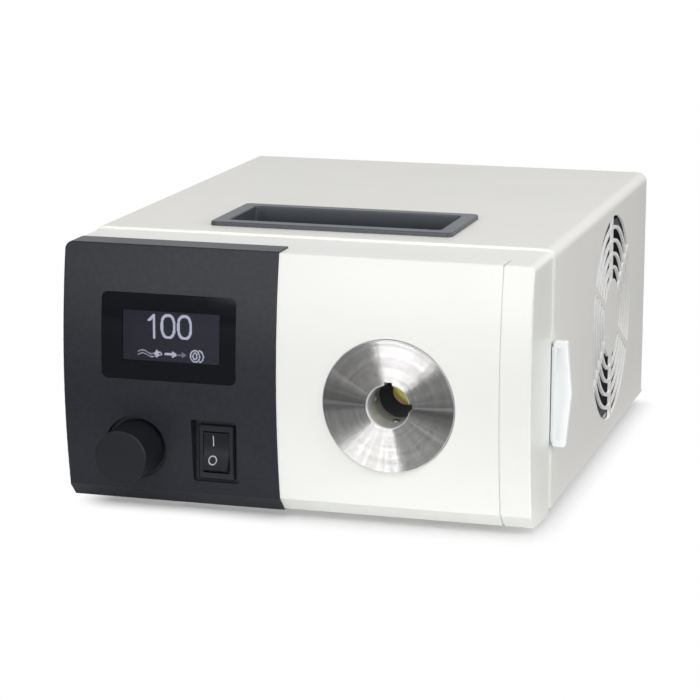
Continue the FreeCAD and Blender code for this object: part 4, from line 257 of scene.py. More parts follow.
# ---- Finishes ----
def powder_coat(name, colour, front_edge, grille):
    """Stoved powder paint: satin, with a faint orange-peel relief, and a painted highlight on the front edge.

    front_edge is the Y of the cover's front edge, and grille is (Y, Z, radius) of its pressed grille.
    The walls of the grille's slots are painted paler and glow a little: painted light that stands for
    the light that goes back and forth between them.
    """
    paint = Surface(name)
    x, y, z = paint.axes()
    hub_y, hub_z, reach = grille
    side_walls_start, front_highlight_width = 0.09, 0.0005
    in_side_wall = abs(x).above(side_walls_start)
    across_sheet = abs(paint.facing()[0]).below(0.6)
    # Painted light: the walls of the grille's slots are painted paler and glow, for the light that bounces
    # between them.
    painted_slot_wall_light = across_sheet * in_side_wall * paint.distance(y - hub_y, z - hub_z).below(reach)
    # Painted highlight: the cover's front edge is painted paler than the coat.
    front_edge_highlight = 0.35 * y.below(front_edge + front_highlight_width)
    painted_light_colour = tuple(min(1.0, 1.2 * c) for c in colour)
    coat = paint.speckled(colour, 0.025, 0.045, detail=3.0)
    peel = paint.noise(0.0016, 3.0)
    grain = paint.noise(0.00035, 2.0)
    return paint.finish(
        Base_Color=paint.blend(painted_slot_wall_light.at_least(front_edge_highlight), coat, painted_light_colour),
        Roughness=0.44 + 0.12 * (grain - 0.5),
        Normal=paint.relief(0.75 * peel + 0.25 * grain, 0.00002),
        Specular_IOR_Level=0.4,
        Emission_Color=paint.blend(painted_slot_wall_light, (0.0, 0.0, 0.0), (0.93, 0.94, 1.0)),
        Emission_Strength=0.20,
    )


def moulded(name, colour, grain=0.0006, depth=0.00002, rough=0.42, shine=0.5, wander=0.05, spot=0.02):
    """Injection-moulded plastic with a spark-eroded grain, whose colour wanders from spot to spot."""
    plastic = Surface(name)
    fine = plastic.noise(grain, 2.0, 0.6)
    broad = plastic.noise(0.03, 2.0)
    return plastic.finish(
        Base_Color=plastic.speckled(colour, wander, spot, detail=4.0),
        Roughness=rough + 0.10 * (fine - 0.5) + 0.08 * (broad - 0.5),
        Normal=plastic.relief(fine, depth),
        Specular_IOR_Level=shine,
    )


def soft_touch(name, colour, axis, edge):
    """Matt coated plastic of the knob, with painted shade round its side and a painted highlight on its front
    edge.

    axis is the X and Z of the knob's axis; edge is the radius of the front edge and the Y of its face.
    """
    coat = Surface(name)
    x, y, z = coat.axes()
    radius, face = edge
    # Painted highlight: a pale line, broken up by noise, round the front edge of the face.
    edge_highlight_width = 0.0007
    at_rim = coat.distance(x - axis[0], z - axis[1]).above(radius - edge_highlight_width)
    edge_highlight = at_rim * y.below(face + edge_highlight_width) * coat.noise(0.006, 3.0).eased(0.3, 0.6)
    fine = coat.noise(0.00025, 3.0, 0.65)
    touch = coat.noise(0.007, 3.0).eased(0.35, 0.75)
    # Painted shade: the knob's side is painted darker than its face.
    face_on = abs(coat.facing()[1])
    side_shaded_skin = coat.blend(face_on, tuple(c * 0.60 for c in colour), colour)
    held_and_side_shaded = coat.blend(0.14 * touch, side_shaded_skin, (0.0, 0.0, 0.0))
    return coat.finish(
        Base_Color=coat.blend(0.8 * edge_highlight, held_and_side_shaded, tuple(3.2 * c for c in colour)),
        Roughness=0.62 - 0.10 * touch + 0.06 * (fine - 0.5),
        Normal=coat.relief(fine, 0.00002),
        Specular_IOR_Level=0.22,
    )


def turned_metal(name, centre, bore=0.0, rim=1.0):
    """Bare metal off the lathe: every turned ring leans in or out by a little of its own.

    Such rings draw the lamps' light out into broad sectors. Faint light spokes that lie level and slanted
    through the centre are painted glints in the colour.
    Inside the bore's radius the wall is reamed, so it is duller and scatters more. The mouth's
    chamfer beside it and the broken edge past the rim's radius are duller than the face, and painted
    paler as a painted highlight.
    """
    rings_per_metre = 250000.0
    chamfer = 0.0005
    metal = Surface(name)
    x, y, z = metal.axes()
    out_x, out_z = x - centre[0], z - centre[2]
    radius = metal.distance(out_x, out_z).at_least(1e-6)
    outward = metal.vector(out_x / radius, 0.0, out_z / radius)
    normal = metal.node("ShaderNodeNewGeometry", output="Normal")
    facing = metal.axes(normal)[1]
    lean = metal.vectors("DOT_PRODUCT", normal, outward, output="Value")
    feed = metal.vectors("ADD", metal.scaled(outward, -facing), metal.vector(0.0, lean, 0.0))
    travel = radius - y
    ring_number = (travel * rings_per_metre).floor()
    ring = metal.node("ShaderNodeTexWhiteNoise", {"noise_dimensions": "1D"}, {"W": ring_number})
    chatter = metal.line_noise(travel, 0.0007, 4.0)
    slope = 1.25 * (ring - 0.5) + 0.10 * (chatter - 0.5)
    grooved = metal.vectors("NORMALIZE", metal.vectors("ADD", normal, metal.scaled(feed, slope)))
    stain = metal.noise(0.012, 4.0)
    turned = metal.vector(out_x / radius, out_z / radius, 0.0)
    streak = metal.noise(0.22, 5.0, 0.75, turned)
    inside = radius.below(bore)
    # Painted highlights: faint light spokes, level and slanted through the centre.
    level_glint = 1 - abs(out_z / radius - 0.02).eased(0.0, 0.06)
    slant_glint = 1 - abs((0.5 * out_x + 0.87 * out_z) / radius).eased(0.0, 0.07)
    painted_glint = (0.8 * level_glint).at_least(0.28 * slant_glint)
    # Painted highlight, partly real: the chamfer and broken edge are duller and rougher, and paler than the
    # face.
    edge = (radius.above(bore) * radius.below(bore + chamfer)).at_least(radius.above(rim))
    bright = metal.blend(streak.eased(0.35, 0.68), (0.42, 0.41, 0.40), (0.55, 0.55, 0.56))
    worn = metal.blend(0.15 * stain, bright, (0.42, 0.40, 0.37))
    with_painted_glints = metal.blend(painted_glint, worn, (0.90, 0.90, 0.91))
    face = metal.blend(edge, with_painted_glints, (0.66, 0.67, 0.68))
    return metal.finish(
        Base_Color=metal.blend(inside, face, (0.86, 0.86, 0.84)),
        Metallic=1.0 - 0.55 * inside - 0.45 * edge,
        Roughness=0.13 + 0.02 * (stain - 0.5) + 0.16 * inside + 0.25 * edge,
        Normal=grooved,
    )


def drawn_metal(name, colour, rough):
    """Extruded metal with fine upright lines."""
    metal = Surface(name, Metallic=1.0)
    lines = metal.noise(1.0, 3.0, 0.6, metal.stretched(2600, 2600, 40))
    cloud = metal.noise(0.02, 3.0)
    return metal.finish(
        Base_Color=metal.speckled(colour, 0.10, 0.006, detail=4.0),
        Roughness=rough + 0.14 * (lines - 0.5) + 0.10 * (cloud - 0.5),
        Normal=metal.relief(lines, 0.000012),
    )


def zinc_sheet(name):
    """Zinc-plated sheet: pale crystals of slightly different greys."""
    zinc = Surface(name, Metallic=1.0)
    crystal = zinc.cells(0.0045, "Color")
    tone = zinc.axes(crystal)[0]
    haze = zinc.noise(0.03, 4.0)
    return zinc.finish(
        Base_Color=zinc.blend(0.4 * tone + 0.6 * haze, (0.56, 0.57, 0.59), (0.70, 0.71, 0.72)),
        Roughness=0.42 + 0.08 * (tone - 0.5),
        Normal=zinc.relief(zinc.noise(0.0015, 2.0), 0.00001),
    )


def plated_steel(name, colour, rough=0.28):
    """Screws and small turned steel parts with a plated skin and a little wear."""
    steel = Surface(name, Metallic=1.0)
    wear = steel.noise(0.0011, 4.0, 0.65)
    return steel.finish(
        Base_Color=steel.blend(wear.eased(0.42, 0.70), colour, tuple(c * 0.62 for c in colour)),
        Roughness=rough + 0.22 * wear.eased(0.40, 0.75),
        Normal=steel.relief(steel.noise(0.00018, 2.0), 0.000006),
    )


def brass(name):
    metal = Surface(name, Metallic=1.0)
    dull = metal.noise(0.0014, 4.0, 0.6)
    return metal.finish(
        Base_Color=metal.blend(dull.eased(0.35, 0.75), (0.78, 0.58, 0.30), (0.52, 0.36, 0.17)),
        Roughness=0.24 + 0.22 * dull,
        Normal=metal.relief(dull, 0.000008),
    )


def rubber(name, tread_centres):
    """Moulded rubber: dusty black, with a fine matt grain and rings under each foot."""
    tread_pitch = 0.0012
    tread_height = 0.0006
    foot = Surface(name, Specular_IOR_Level=0.3)
    x, y, z = foot.axes()
    nearest = None
    for cx, cy in tread_centres:
        distance = foot.distance(x - cx, y - cy)
        nearest = distance if nearest is None else nearest.at_most(distance)
    rings = abs((nearest / tread_pitch) % 1.0 - 0.5) * 2.0 * z.below(tread_height)
    dust = foot.noise(0.004, 5.0, 0.65)
    grain = foot.noise(0.0003, 2.0)
    return foot.finish(
        Base_Color=foot.blend(dust.eased(0.40, 0.80), shade(38, 38, 39), shade(64, 63, 61)),
        Roughness=0.72 + 0.16 * (dust - 0.5),
        Normal=foot.relief(0.35 * grain + 0.65 * rings, 0.00015),
    )


def smoked_window(name, clear_x, clear_z):
    """Glossy dark pane: printed black behind its border, see-through over the display."""
    feather = 0.00012
    pane = Surface(name, IOR=1.49, Specular_IOR_Level=0.28)
    x, _, z = pane.axes()

    def between(place, ends):
        low, high = ends
        return place.eased(low - feather, low + feather) * (1 - place.eased(high - feather, high + feather))

    clear = between(x, clear_x) * between(z, clear_z)
    smear = pane.noise(0.018, 4.0, 0.6)
    return pane.finish(
        Base_Color=pane.blend(smear, shade(16, 18, 21), shade(21, 23, 27)),
        Alpha=1.0 - 0.55 * clear,
        Roughness=0.06 + 0.05 * smear,
        Normal=pane.relief(pane.noise(0.02, 1.0), 0.00001),
    )


def display_panel(name, centre, size, front):
    """The display: a faintly lit violet-grey field, with black glass and board round it."""
    panel = Surface(name, Emission_Strength=1.8)
    x, y, z = panel.axes()
    past_side = abs(x - centre[0]) - size[0] / 2
    past_end = abs(z - centre[1]) - size[1] / 2
    field = past_side.at_least(past_end).below(0.0) * y.below(front + 0.0001)
    cloud = panel.noise(0.01, 3.0)
    share_across = (x - centre[0]) / size[0] + 0.5
    lit = panel.blend(0.8 * share_across + 0.4 * (cloud - 0.5), shade(51, 51, 61), shade(64, 63, 77))
    return panel.finish(
        Base_Color=panel.blend(field, shade(13, 13, 15), (0.004, 0.004, 0.006)),
        Emission_Color=panel.blend(field, (0.0, 0.0, 0.0), lit),
        Roughness=0.14 + 0.05 * (cloud - 0.5),
    )


def lit_dots(name, colour):
    """Light from the display's dots, as bright as the dot's own level says."""
    dots = Surface(name, Roughness=0.4, Emission_Strength=1.8)
    level = dots.node("ShaderNodeAttribute", {"attribute_name": "level"}, output="Fac")
    spread = dots.noise(0.0006, 1.0)
    bright = dots.blend((level * (0.94 + 0.12 * spread)).at_most(1.0), (0.0, 0.0, 0.0), colour)
    return dots.finish(Base_Color=(0.01, 0.01, 0.012, 1.0), Emission_Color=bright)


def pad_print(name, colour):
    """Thin printed ink with a slightly uneven edge and cover."""
    ink = Surface(name)
    cover = ink.noise(0.0004, 3.0)
    return ink.finish(
        Base_Color=ink.blend(cover, tuple(c * 0.88 for c in colour), colour),
        Roughness=0.5 + 0.1 * (cover - 0.5),
    )


def clear_glass(name, tint=(0.96, 0.985, 0.97)):
    """Polished optical glass with the faintest smears."""
    glass = Surface(name, Transmission_Weight=1.0, IOR=1.5)
    smear = glass.noise(0.006, 4.0)
    return glass.finish(
        Base_Color=glass.blend(smear, tint, tuple(min(1.0, c * 1.02) for c in tint)),
        Roughness=0.01 + 0.05 * smear.eased(0.55, 0.9),
    )


def condenser_glass(name, centre):
    """Condenser lenses: the yellow lamp's light through them is painted on, as a glow in rings of green,
    amber and brown.
    """
    glass = Surface(name, IOR=1.6, Coat_Roughness=0.02, Emission_Strength=0.55)
    x, _, z = glass.axes()
    lens_radius = 0.017
    waver = 0.0024 * (glass.noise(0.004, 2.0) - 0.5)
    radius = glass.distance(x - centre[0], z - centre[2]) + waver
    # Painted light: the lenses glow by themselves, in rings, for the lamp seen through them.
    glow = glass.ramp(
        radius / lens_radius,
        (0.0, (0.85, 0.80, 0.30)),
        (0.45, (0.66, 0.66, 0.18)),
        (0.70, (0.62, 0.60, 0.16)),
        (0.78, (0.30, 0.20, 0.06)),
        (0.88, (0.40, 0.25, 0.10)),
        (1.0, (0.08, 0.045, 0.03)),
    )
    return glass.finish(
        Base_Color=glass.blend(0.6, (0.10, 0.08, 0.05), glow),
        Emission_Color=glow,
        Roughness=0.12 + 0.06 * glass.noise(0.003, 2.0),
        Coat_Weight=0.9,
    )


def lamp_phosphor(name):
    """The lamp's yellow phosphor dome on its white ceramic base."""
    lamp = Surface(name)
    crumb = lamp.noise(0.0004, 4.0, 0.7)
    return lamp.finish(
        Base_Color=lamp.blend(crumb, (0.80, 0.66, 0.12), (0.90, 0.80, 0.28)),
        Roughness=0.55 + 0.2 * (crumb - 0.5),
        Normal=lamp.relief(crumb, 0.00003),
    )


def circuit_board(name, mask, parts=None):
    """Solder mask over traces; parts that stand on the board are black.

    parts is the number of the axis that they stand along and the place where they start.
    """
    board = Surface(name)
    x, y, z = board.axes()
    cell = board.cells(0.004, "Color")
    lane = board.axes(cell)[0]
    trace = abs(((x + z + 0.6 * y) / 0.0014 + 3.0 * lane) % 1.0 - 0.5).below(0.16)
    pads = board.cells(0.0034).below(0.16)
    copper = board.blend(trace, mask, tuple(min(1.0, c * 1.9 + 0.01) for c in mask))
    colour = board.blend(pads, copper, (0.62, 0.60, 0.55))
    rough = 0.34 + 0.1 * (board.noise(0.002, 3.0) - 0.5)
    if parts is not None:
        axis, start = parts
        part = (x, y, z)[axis].above(start)
        colour = board.blend(part, colour, shade(30, 30, 31))
        rough = rough + 0.2 * part
    relief = board.relief(trace.at_least(pads), 0.00003)
    return board.finish(Base_Color=colour, Roughness=rough, Normal=relief)


def wound_parts(name, core, winding, levels):
    """Laminated core with thin lines for its sheets, and a taped winding between two levels."""
    part = Surface(name)
    x, y, z = part.axes()
    lamination = abs((y / 0.0007) % 1.0 - 0.5)
    tape = abs((x / 0.0060) % 1.0 - 0.5).below(0.06)
    bulge = z.above(levels[0]) * z.below(levels[1])
    scuff = part.noise(0.004, 4.0)
    iron = part.blend(lamination, core, tuple(c * 1.6 for c in core))
    colour = part.blend(bulge, iron, part.blend(tape, winding, tuple(c * 0.6 for c in winding)))
    return part.finish(
        Base_Color=colour,
        Roughness=0.42 + 0.2 * (scuff - 0.5),
        Normal=part.relief(lamination, 0.00004),
    )


def can_sleeve(name, top):
    """Electrolytic cans: dark sleeve round the side, bare aluminium with a scored cross on top."""
    can = Surface(name)
    x, y, z = can.axes()
    lid = z.above(top - 0.0006)
    band = abs(((x + y) / 0.006) % 1.0 - 0.5).below(0.10) * (1 - lid)
    grain = can.noise(0.0008, 3.0)
    colour = can.blend(band, shade(28, 30, 38), shade(120, 124, 132))
    return can.finish(
        Base_Color=can.blend(lid, colour, (0.72, 0.72, 0.73)),
        Metallic=lid * 0.95,
        Roughness=0.34 + 0.1 * (grain - 0.5),
        Normal=can.relief(grain, 0.00001),
    )


# ---- Meshes ----
def new_piece(name, points, faces, material):
    """A mesh object at the origin with its place in its points."""
    mesh = bpy.data.meshes.new(name)
    mesh.from_pydata([tuple(p) for p in points], [], faces)
    mesh.update()
    piece = bpy.data.objects.new(name, mesh)
    bpy.context.scene.collection.objects.link(piece)
    mesh.materials.append(material)
    return piece


def dress(material, *nodes):
    """Gives CAD nodes their finish."""
    for name in nodes:
        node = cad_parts[name]
        if not node.material_slots:
            node.data.materials.append(material)
        for slot in node.material_slots:
            slot.material = material


def surface_under(node):
    """A function that gives the height along Y of a node's front at a place in X and Z."""
    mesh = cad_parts[node].data
    tree = BVHTree.FromPolygons([v.co for v in mesh.vertices], [p.vertices for p in mesh.polygons])

    def front(x, z):
        hit = tree.ray_cast(Vector((x, -1.0, z)), Vector((0.0, 1.0, 0.0)))[0]
        if hit is None:
            raise ValueError(f"nothing of {node} lies behind ({x:.4f}, {z:.4f})")
        return hit.y

    return front


def raised_strip(name, left, right, closed, front, proud, material):
    """A thin solid along two rows of (x, z) points, following the surface that front gives."""
    points, faces = [], []
    for a, b in zip(left, right):
        for x, z in (a, b):
            y = front(x, z)
            points += [(x, y - proud, z), (x, y + proud, z)]
    count = len(left)
    for index in range(count if closed else count - 1):
        i, j = 4 * index, 4 * ((index + 1) % count)
        faces += [(i, i + 2, j + 2, j), (i + 1, j + 1, j + 3, i + 3)]
        faces += [(i, j, j + 1, i + 1), (i + 2, i + 3, j + 3, j + 2)]
    if not closed:
        end = 4 * (count - 1)
        faces += [(0, 1, 3, 2), (end, end + 2, end + 3, end + 1)]
    piece = new_piece(name, points, faces, material)
    shape = bmesh.new()
    shape.from_mesh(piece.data)
    bmesh.ops.recalc_face_normals(shape, faces=shape.faces)
    shape.to_mesh(piece.data)
    shape.free()
    return piece


# ---- Geometry node trees ----
class NodeTree(Graph):
    """A Geometry Nodes tree with named inputs that starts from the piece's own mesh."""

    def __init__(self, name, inputs):
        self.tree = bpy.data.node_groups.new(name, "GeometryNodeTree")
        super().__init__(self.tree)
        face = self.tree.interface
        face.new_socket("Geometry", in_out="INPUT", socket_type="NodeSocketGeometry")
        self.sockets = {}
        for label, kind in inputs.items():
            made = face.new_socket(label, in_out="INPUT", socket_type=kind)
            self.sockets[label] = made.identifier
        face.new_socket("Geometry", in_out="OUTPUT", socket_type="NodeSocketGeometry")
        self.start = self.nodes.new("NodeGroupInput")
        self.end = self.nodes.new("NodeGroupOutput")

    def given(self, label):
        return Value(self, self.start.outputs[label])

    def close(self, geometry, material):
        """Realizes the copies, sets the material and ends the tree."""
        real = self.node("GeometryNodeRealizeInstances", inputs={"Geometry": geometry})
        done = self.node("GeometryNodeSetMaterial", inputs={"Geometry": real, "Material": material})
        self.feed(self.end.inputs["Geometry"], done)

    def grow(self, piece, values):
        """Runs the tree on a piece and leaves the plain mesh that it makes."""
        modifier = piece.modifiers.new(self.tree.name, "NODES")
        modifier.node_group = self.tree
        for label, value in values.items():
            modifier[self.sockets[label]] = value
        bpy.context.view_layer.update()
        made = piece.evaluated_get(bpy.context.evaluated_depsgraph_get())
        mesh = bpy.data.meshes.new_from_object(made)
        piece.modifiers.clear()
        piece.data = mesh
        mesh.name = piece.name


def dot_matrix_tree():
    """One small block on each point of the piece: the lit dots of a display."""
    inputs = {"Dot": "NodeSocketFloat", "Depth": "NodeSocketFloat", "Ink": "NodeSocketMaterial"}
    tree = NodeTree("dot_matrix", inputs)
    width, depth = tree.given("Dot"), tree.given("Depth")
    size = tree.node("ShaderNodeCombineXYZ", inputs={0: width, 1: depth, 2: width})
    dot = tree.node("GeometryNodeMeshCube", inputs={"Size": size}, output="Mesh")
    copies = {"Points": tree.given("Geometry"), "Instance": dot}
    placed = tree.node("GeometryNodeInstanceOnPoints", inputs=copies)
    tree.close(placed, tree.given("Ink"))
    return tree


# ---- Settings ----
def colour_setting(name, description, default):
    return bpy.props.FloatVectorProperty(
        name=name, description=description, subtype="COLOR", size=3, default=default, min=0.0, max=1.0
    )


def number_setting(name, description, default, lowest=0.0, **more):
    return bpy.props.FloatProperty(name=name, description=description, default=default, min=lowest, **more)


def length_setting(name, description, default, lowest=-1.0):
    return number_setting(name, description, default, lowest, unit="LENGTH", precision=4)


def power_setting(name, description, default):
    return number_setting(name, description, default, unit="POWER")


class HousingSettings(bpy.types.PropertyGroup):
    cover: colour_setting("Cover paint", "Colour of the bent cover", shade(233, 232, 228))
    front: colour_setting("Front moulding", "Colour of the white front", shade(235, 236, 232))
    control: colour_setting("Control panel", "Colour of the dark panel", shade(31, 34, 41))
    handle: colour_setting("Handle", "Colour of the carry handle's cup", shade(64, 68, 75))
    trim: colour_setting("Black plastic", "Colour of small black parts inside", shade(30, 31, 34))


class DisplaySettings(bpy.types.PropertyGroup):
    shift_x: length_setting("Shift X", "From the window's middle to the field's", -0.0010)
    shift_z: length_setting("Shift Z", "From the window's middle up to the field's", -0.0009)
    width: length_setting("Width", "Width of the lit field", 0.0442, 0.01)
    height: length_setting("Height", "Height of the lit field", 0.0226, 0.005)
    opening_x: length_setting("Opening X", "From the window's middle to the clear opening's", 0.0010)
    opening_z: length_setting("Opening Z", "From the window's middle up to the clear opening's", 0.0004)
    opening_width: length_setting("Opening width", "Width of the window's clear opening", 0.0446, 0.01)
    opening_height: length_setting("Opening height", "Height of the window's clear opening", 0.0221, 0.005)
    columns: bpy.props.IntProperty(name="Columns", description="Dots across the field", default=128, min=16)
    rows: bpy.props.IntProperty(name="Rows", description="Dots down the field", default=64, min=8)
    glow: colour_setting("Glow", "Colour of a fully lit dot", shade(228, 230, 255))


class SwitchSettings(bpy.types.PropertyGroup):
    shift_x: length_setting("Shift X", "From the rocker's middle to the marks", -0.0014)
    line_rise: length_setting("I rise", "From the rocker's middle up to the I", 0.0050)
    ring_drop: length_setting("O drop", "From the rocker's middle down to the O", 0.0034)
    line_length: length_setting("I length", "Length of the I", 0.0047, 0.001)
    ring_size: length_setting("O diameter", "Outer diameter of the O", 0.0040, 0.001)
    stroke: length_setting("Stroke", "Width of the printed lines", 0.0005, 0.0002)
    ink: colour_setting("Ink", "Colour of the marks", shade(176, 179, 185))


class StageSettings(bpy.types.PropertyGroup):
    floor: colour_setting("Floor", "Colour of the floor", (0.94, 0.94, 0.94))
    table_edge: colour_setting("Floor further off", "Colour of the floor beyond", (0.17, 0.17, 0.17))
    shadow_inset: length_setting(
        "Shadow inset", "How far inside the housing's outline the shadow starts to fade", 0.013, 0.0
    )
    shadow_reach: length_setting("Shadow reach", "Over what distance the shadow fades to white", 0.020, 0.001)
    shadow_shift: length_setting(
        "Shadow shift", "How far the shadow lies to the right of the housing's middle", 0.004
    )
    shadow_taper: length_setting(
        "Shadow taper", "How much further in the shadow's front starts to fade at the left", 0.0055, 0.0
    )
    sky: number_setting("Surroundings", "Strength of the even light from sides, back and above", 0.45)
    room: number_setting("Room in front", "Strength of the even light from behind the camera", 0.14)
    high_light: power_setting("High front softbox", "Power of the softbox high in front", 6.0)
    low_light: power_setting("Low front softbox", "Power of the softbox low in front", 9.5)
    side_light: power_setting("Side softbox", "Power of the softbox at the right", 12.0)
    top_light: power_setting("Top softbox", "Power of the softbox overhead", 3.4)
    lens: number_setting("Lens", "Focal length of the camera on a 36 mm sensor", 135.2, 20.0)
    camera_place: bpy.props.FloatVectorProperty(
        name="Camera", description="From the cover's front top right corner to the camera",
        subtype="TRANSLATION", unit="LENGTH", size=3, precision=4, default=(0.22048, -1.09192, 0.19904),
    )


# ---- Operators: finishes ----
class PaintHousing(bpy.types.Operator):
    """Finish the cover, the white front, the dark panel and the handle"""

    bl_idname = "light_source.paint_housing"
    bl_label = "Housing finishes"

    def execute(self, context):
        look = context.scene.light_source_housing
        hub = sum(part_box("fan_shaft"), Vector()) / 2
        grille_radius = 0.052
        front_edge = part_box("top_cover")[0].y
        grille = (hub.y, hub.z, grille_radius)
        dress(powder_coat("cover_powder_coat", tuple(look.cover), front_edge, grille), "top_cover")

        satin = {"depth": 0.000012, "rough": 0.36}
        fine = {"grain": 0.0008, "depth": 0.00001}
        mottled = {"grain": 0.0005, "shine": 0.32, "wander": 0.42, "spot": 0.0022}
        plastics = (
            ("white_moulding", look.front, {"wander": 0.012, **satin}, "front_frame", "port_panel"),
            # The drawer's white is a paler copy of the front's white: painted light, so that the grip at the
            # side shows as bright as the lit front.
            ("drawer_white", shade(250, 253, 254), {"wander": 0.01, **satin}, "filter_drawer"),
            ("dark_panel", look.control, mottled, "control_panel"),
            ("handle_plastic", look.handle, {"shine": 0.52}, "handle_cup"),
            ("black_trim", look.trim, {"rough": 0.38, "wander": 0.06}, "drawer_guide", "encoder_body"),
            # Painted light: the fan is a lighter grey than black plastic, so that the dark behind the
            # grille's slots shows lighter.
            ("fan_plastic", shade(64, 64, 69), {"rough": 0.45, "shine": 0.4, "wander": 0.06},
             "fan_frame", "fan_impeller"),
            ("baffle_plastic", shade(72, 73, 79), {"rough": 0.5, "shine": 0.3, "wander": 0.06},
             "port_baffle"),
            ("switch_plastic", shade(29, 31, 36), {"rough": 0.34, "shine": 0.34, **fine}, "switch_body"),
            ("rocker_plastic", shade(27, 29, 34), {"shine": 0.18, **fine}, "switch_rocker"),
            ("inlet_plastic", shade(30, 30, 31), {"grain": 0.0007, "rough": 0.34},
             "mains_inlet", "fuse_drawer"),
        )
        for name, colour, kind, *nodes in plastics:
            dress(moulded(name, tuple(colour), **kind), *nodes)

        low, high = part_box("knob")
        axis = ((low.x + high.x) / 2, (low.z + high.z) / 2)
        edge = ((high.x - low.x) / 2, low.y)
        dress(soft_touch("knob_soft_touch", shade(27, 30, 35), axis, edge), "knob")
        low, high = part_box("rubber_feet")
        radius = 0.009
        across = (low.x + radius, high.x - radius)
        along = (low.y + radius, high.y - radius)
        dress(rubber("foot_rubber", [(x, y) for x in across for y in along]), "rubber_feet")
        return {"FINISHED"}


class PaintMetal(bpy.types.Operator):
    """Finish the turned port, the chassis, the screws, the springs and the heat sink"""

    bl_idname = "light_source.paint_metal"
    bl_label = "Metal finishes"

    def execute(self, context):
        low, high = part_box("port_flange")
        centre = (low + high) / 2
        dress(turned_metal("turned_port", centre, bore=0.00935, rim=0.0288), "port_flange")
        zinc = zinc_sheet("zinc_sheet")
        dress(zinc, "base_tray", "front_bulkhead", "rear_panel", "fan_bracket", "sink_angle")
        dress(drawn_metal("drawn_aluminium", (0.70, 0.71, 0.72), 0.34), "heat_sink", "lamp_board")
        dress(turned_metal("turned_barrel", centre), "lens_barrel", "lens_rings", "filter_ring")
        steel = plated_steel("screw_steel", (0.62, 0.62, 0.63))
        dress(steel, "chassis_screws", "lamp_screws", "board_screws")
        dress(steel, "feet_screws", "fan_screws", "knob_grub_screw")
        black = plated_steel("black_screws", (0.10, 0.10, 0.105), 0.36)
        dress(black, "cover_screws", "inlet_screws", "detent_screws")
        bright = plated_steel("bright_steel", (0.74, 0.74, 0.75), 0.14)
        dress(bright, "detent_ball_low", "detent_ball_side", "detent_spring_low", "detent_spring_side")
        dress(bright, "encoder_shaft", "encoder_nut", "fan_shaft", "standoffs")
        dress(brass("contact_brass"), "inlet_pins", "switch_terminals", "encoder_wheel")
        return {"FINISHED"}


class PaintOptics(bpy.types.Operator):
    """Finish the filter, the fuses, the lenses and the lamp"""

    bl_idname = "light_source.paint_optics"
    bl_label = "Optics finishes"

    def execute(self, context):
        low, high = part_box("lenses")
        dress(condenser_glass("condenser_glass", (low + high) / 2), "lenses")
        dress(clear_glass("filter_glass"), "filter_glass", "fuses")
        dress(lamp_phosphor("lamp_phosphor"), "lamp_chip")
        return {"FINISHED"}


class PaintElectronics(bpy.types.Operator):
    """Finish the boards, the transformer, the capacitors and the fan's motor"""

    bl_idname = "light_source.paint_electronics"
    bl_label = "Electronics finishes"

    def execute(self, context):
        green, blue = shade(28, 84, 52), shade(30, 60, 96)
        along_y, along_z = 1, 2
        board_thickness, clear = 0.0016, 0.0001
        control_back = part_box("control_board")[0].y + board_thickness + clear
        supply_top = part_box("supply_board")[1].z + clear
        dress(circuit_board("control_board_mask", green, (along_y, control_back)), "control_board")
        dress(circuit_board("supply_board_mask", green), "supply_board")
        dress(circuit_board("driver_board_mask", blue, (along_z, supply_top)), "driver_board")
        low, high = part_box("supply_transformer")
        yoke = (high.z - low.z) / 6
        levels = (low.z + yoke, high.z - yoke)
        wound = wound_parts("transformer", shade(70, 68, 66), shade(206, 178, 74), levels)
        dress(wound, "supply_transformer")
        dress(brass("motor_copper"), "fan_motor")
        dress(can_sleeve("capacitor_cans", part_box("supply_capacitors")[1].z), "supply_capacitors")
        return {"FINISHED"}


# ---- Operators: springs ----
class FitSprings(bpy.types.Operator):
    """Put a copy of each detent spring behind its ball, carried with the housing, in place of the model's
    spring
    """

    bl_idname = "light_source.fit_springs"
    bl_label = "Detent springs"

    def execute(self, context):
        for side, axis in (("low", Vector((0, 0, 1))), ("side", Vector((1, 0, 0)))):
            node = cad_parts[f"detent_spring_{side}"]
            spring = bpy.data.objects.new(f"detent_coil_{side}", node.data.copy())
            context.scene.collection.objects.link(spring)
            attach(spring, HOUSING)
            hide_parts(node.name)
            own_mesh(spring)
        return {"FINISHED"}


# ---- Operators: display ----
def to_stroke(point, line):
    """Distance from a point to a line of points."""
    best = 1e9
    for (ax, ay), (bx, by) in zip(line, line[1:]):
        dx, dy = bx - ax, by - ay
        share = ((point[0] - ax) * dx + (point[1] - ay) * dy) / max(dx * dx + dy * dy, 1e-9)
        share = min(1.0, max(0.0, share))
        best = min(best, math.hypot(point[0] - ax - share * dx, point[1] - ay - share * dy))
    return best


def oval(cx, cy, rx, ry, start=0.0, end=360.0, squareness=2.0, steps=40):
    """Points round an oval; a squareness over 2 fills its corners."""
    points = []
    for index in range(steps + 1):
        angle = math.radians(start + (end - start) * index / steps)
        c, s = math.cos(angle), math.sin(angle)
        points.append((
            cx + rx * math.copysign(abs(c) ** (2 / squareness), c),
            cy + ry * math.copysign(abs(s) ** (2 / squareness), s),
        ))
    return points


def wavy(x0, x1, y0, y1, height, waves, steps=24):
    """A wave from one column to another, sliding from one row to another."""
    shares = [index / steps for index in range(steps + 1)]
    return [
        (x0 + (x1 - x0) * t, y0 + (y1 - y0) * t - height * math.sin(2 * math.pi * waves * t))
        for t in shares
    ]


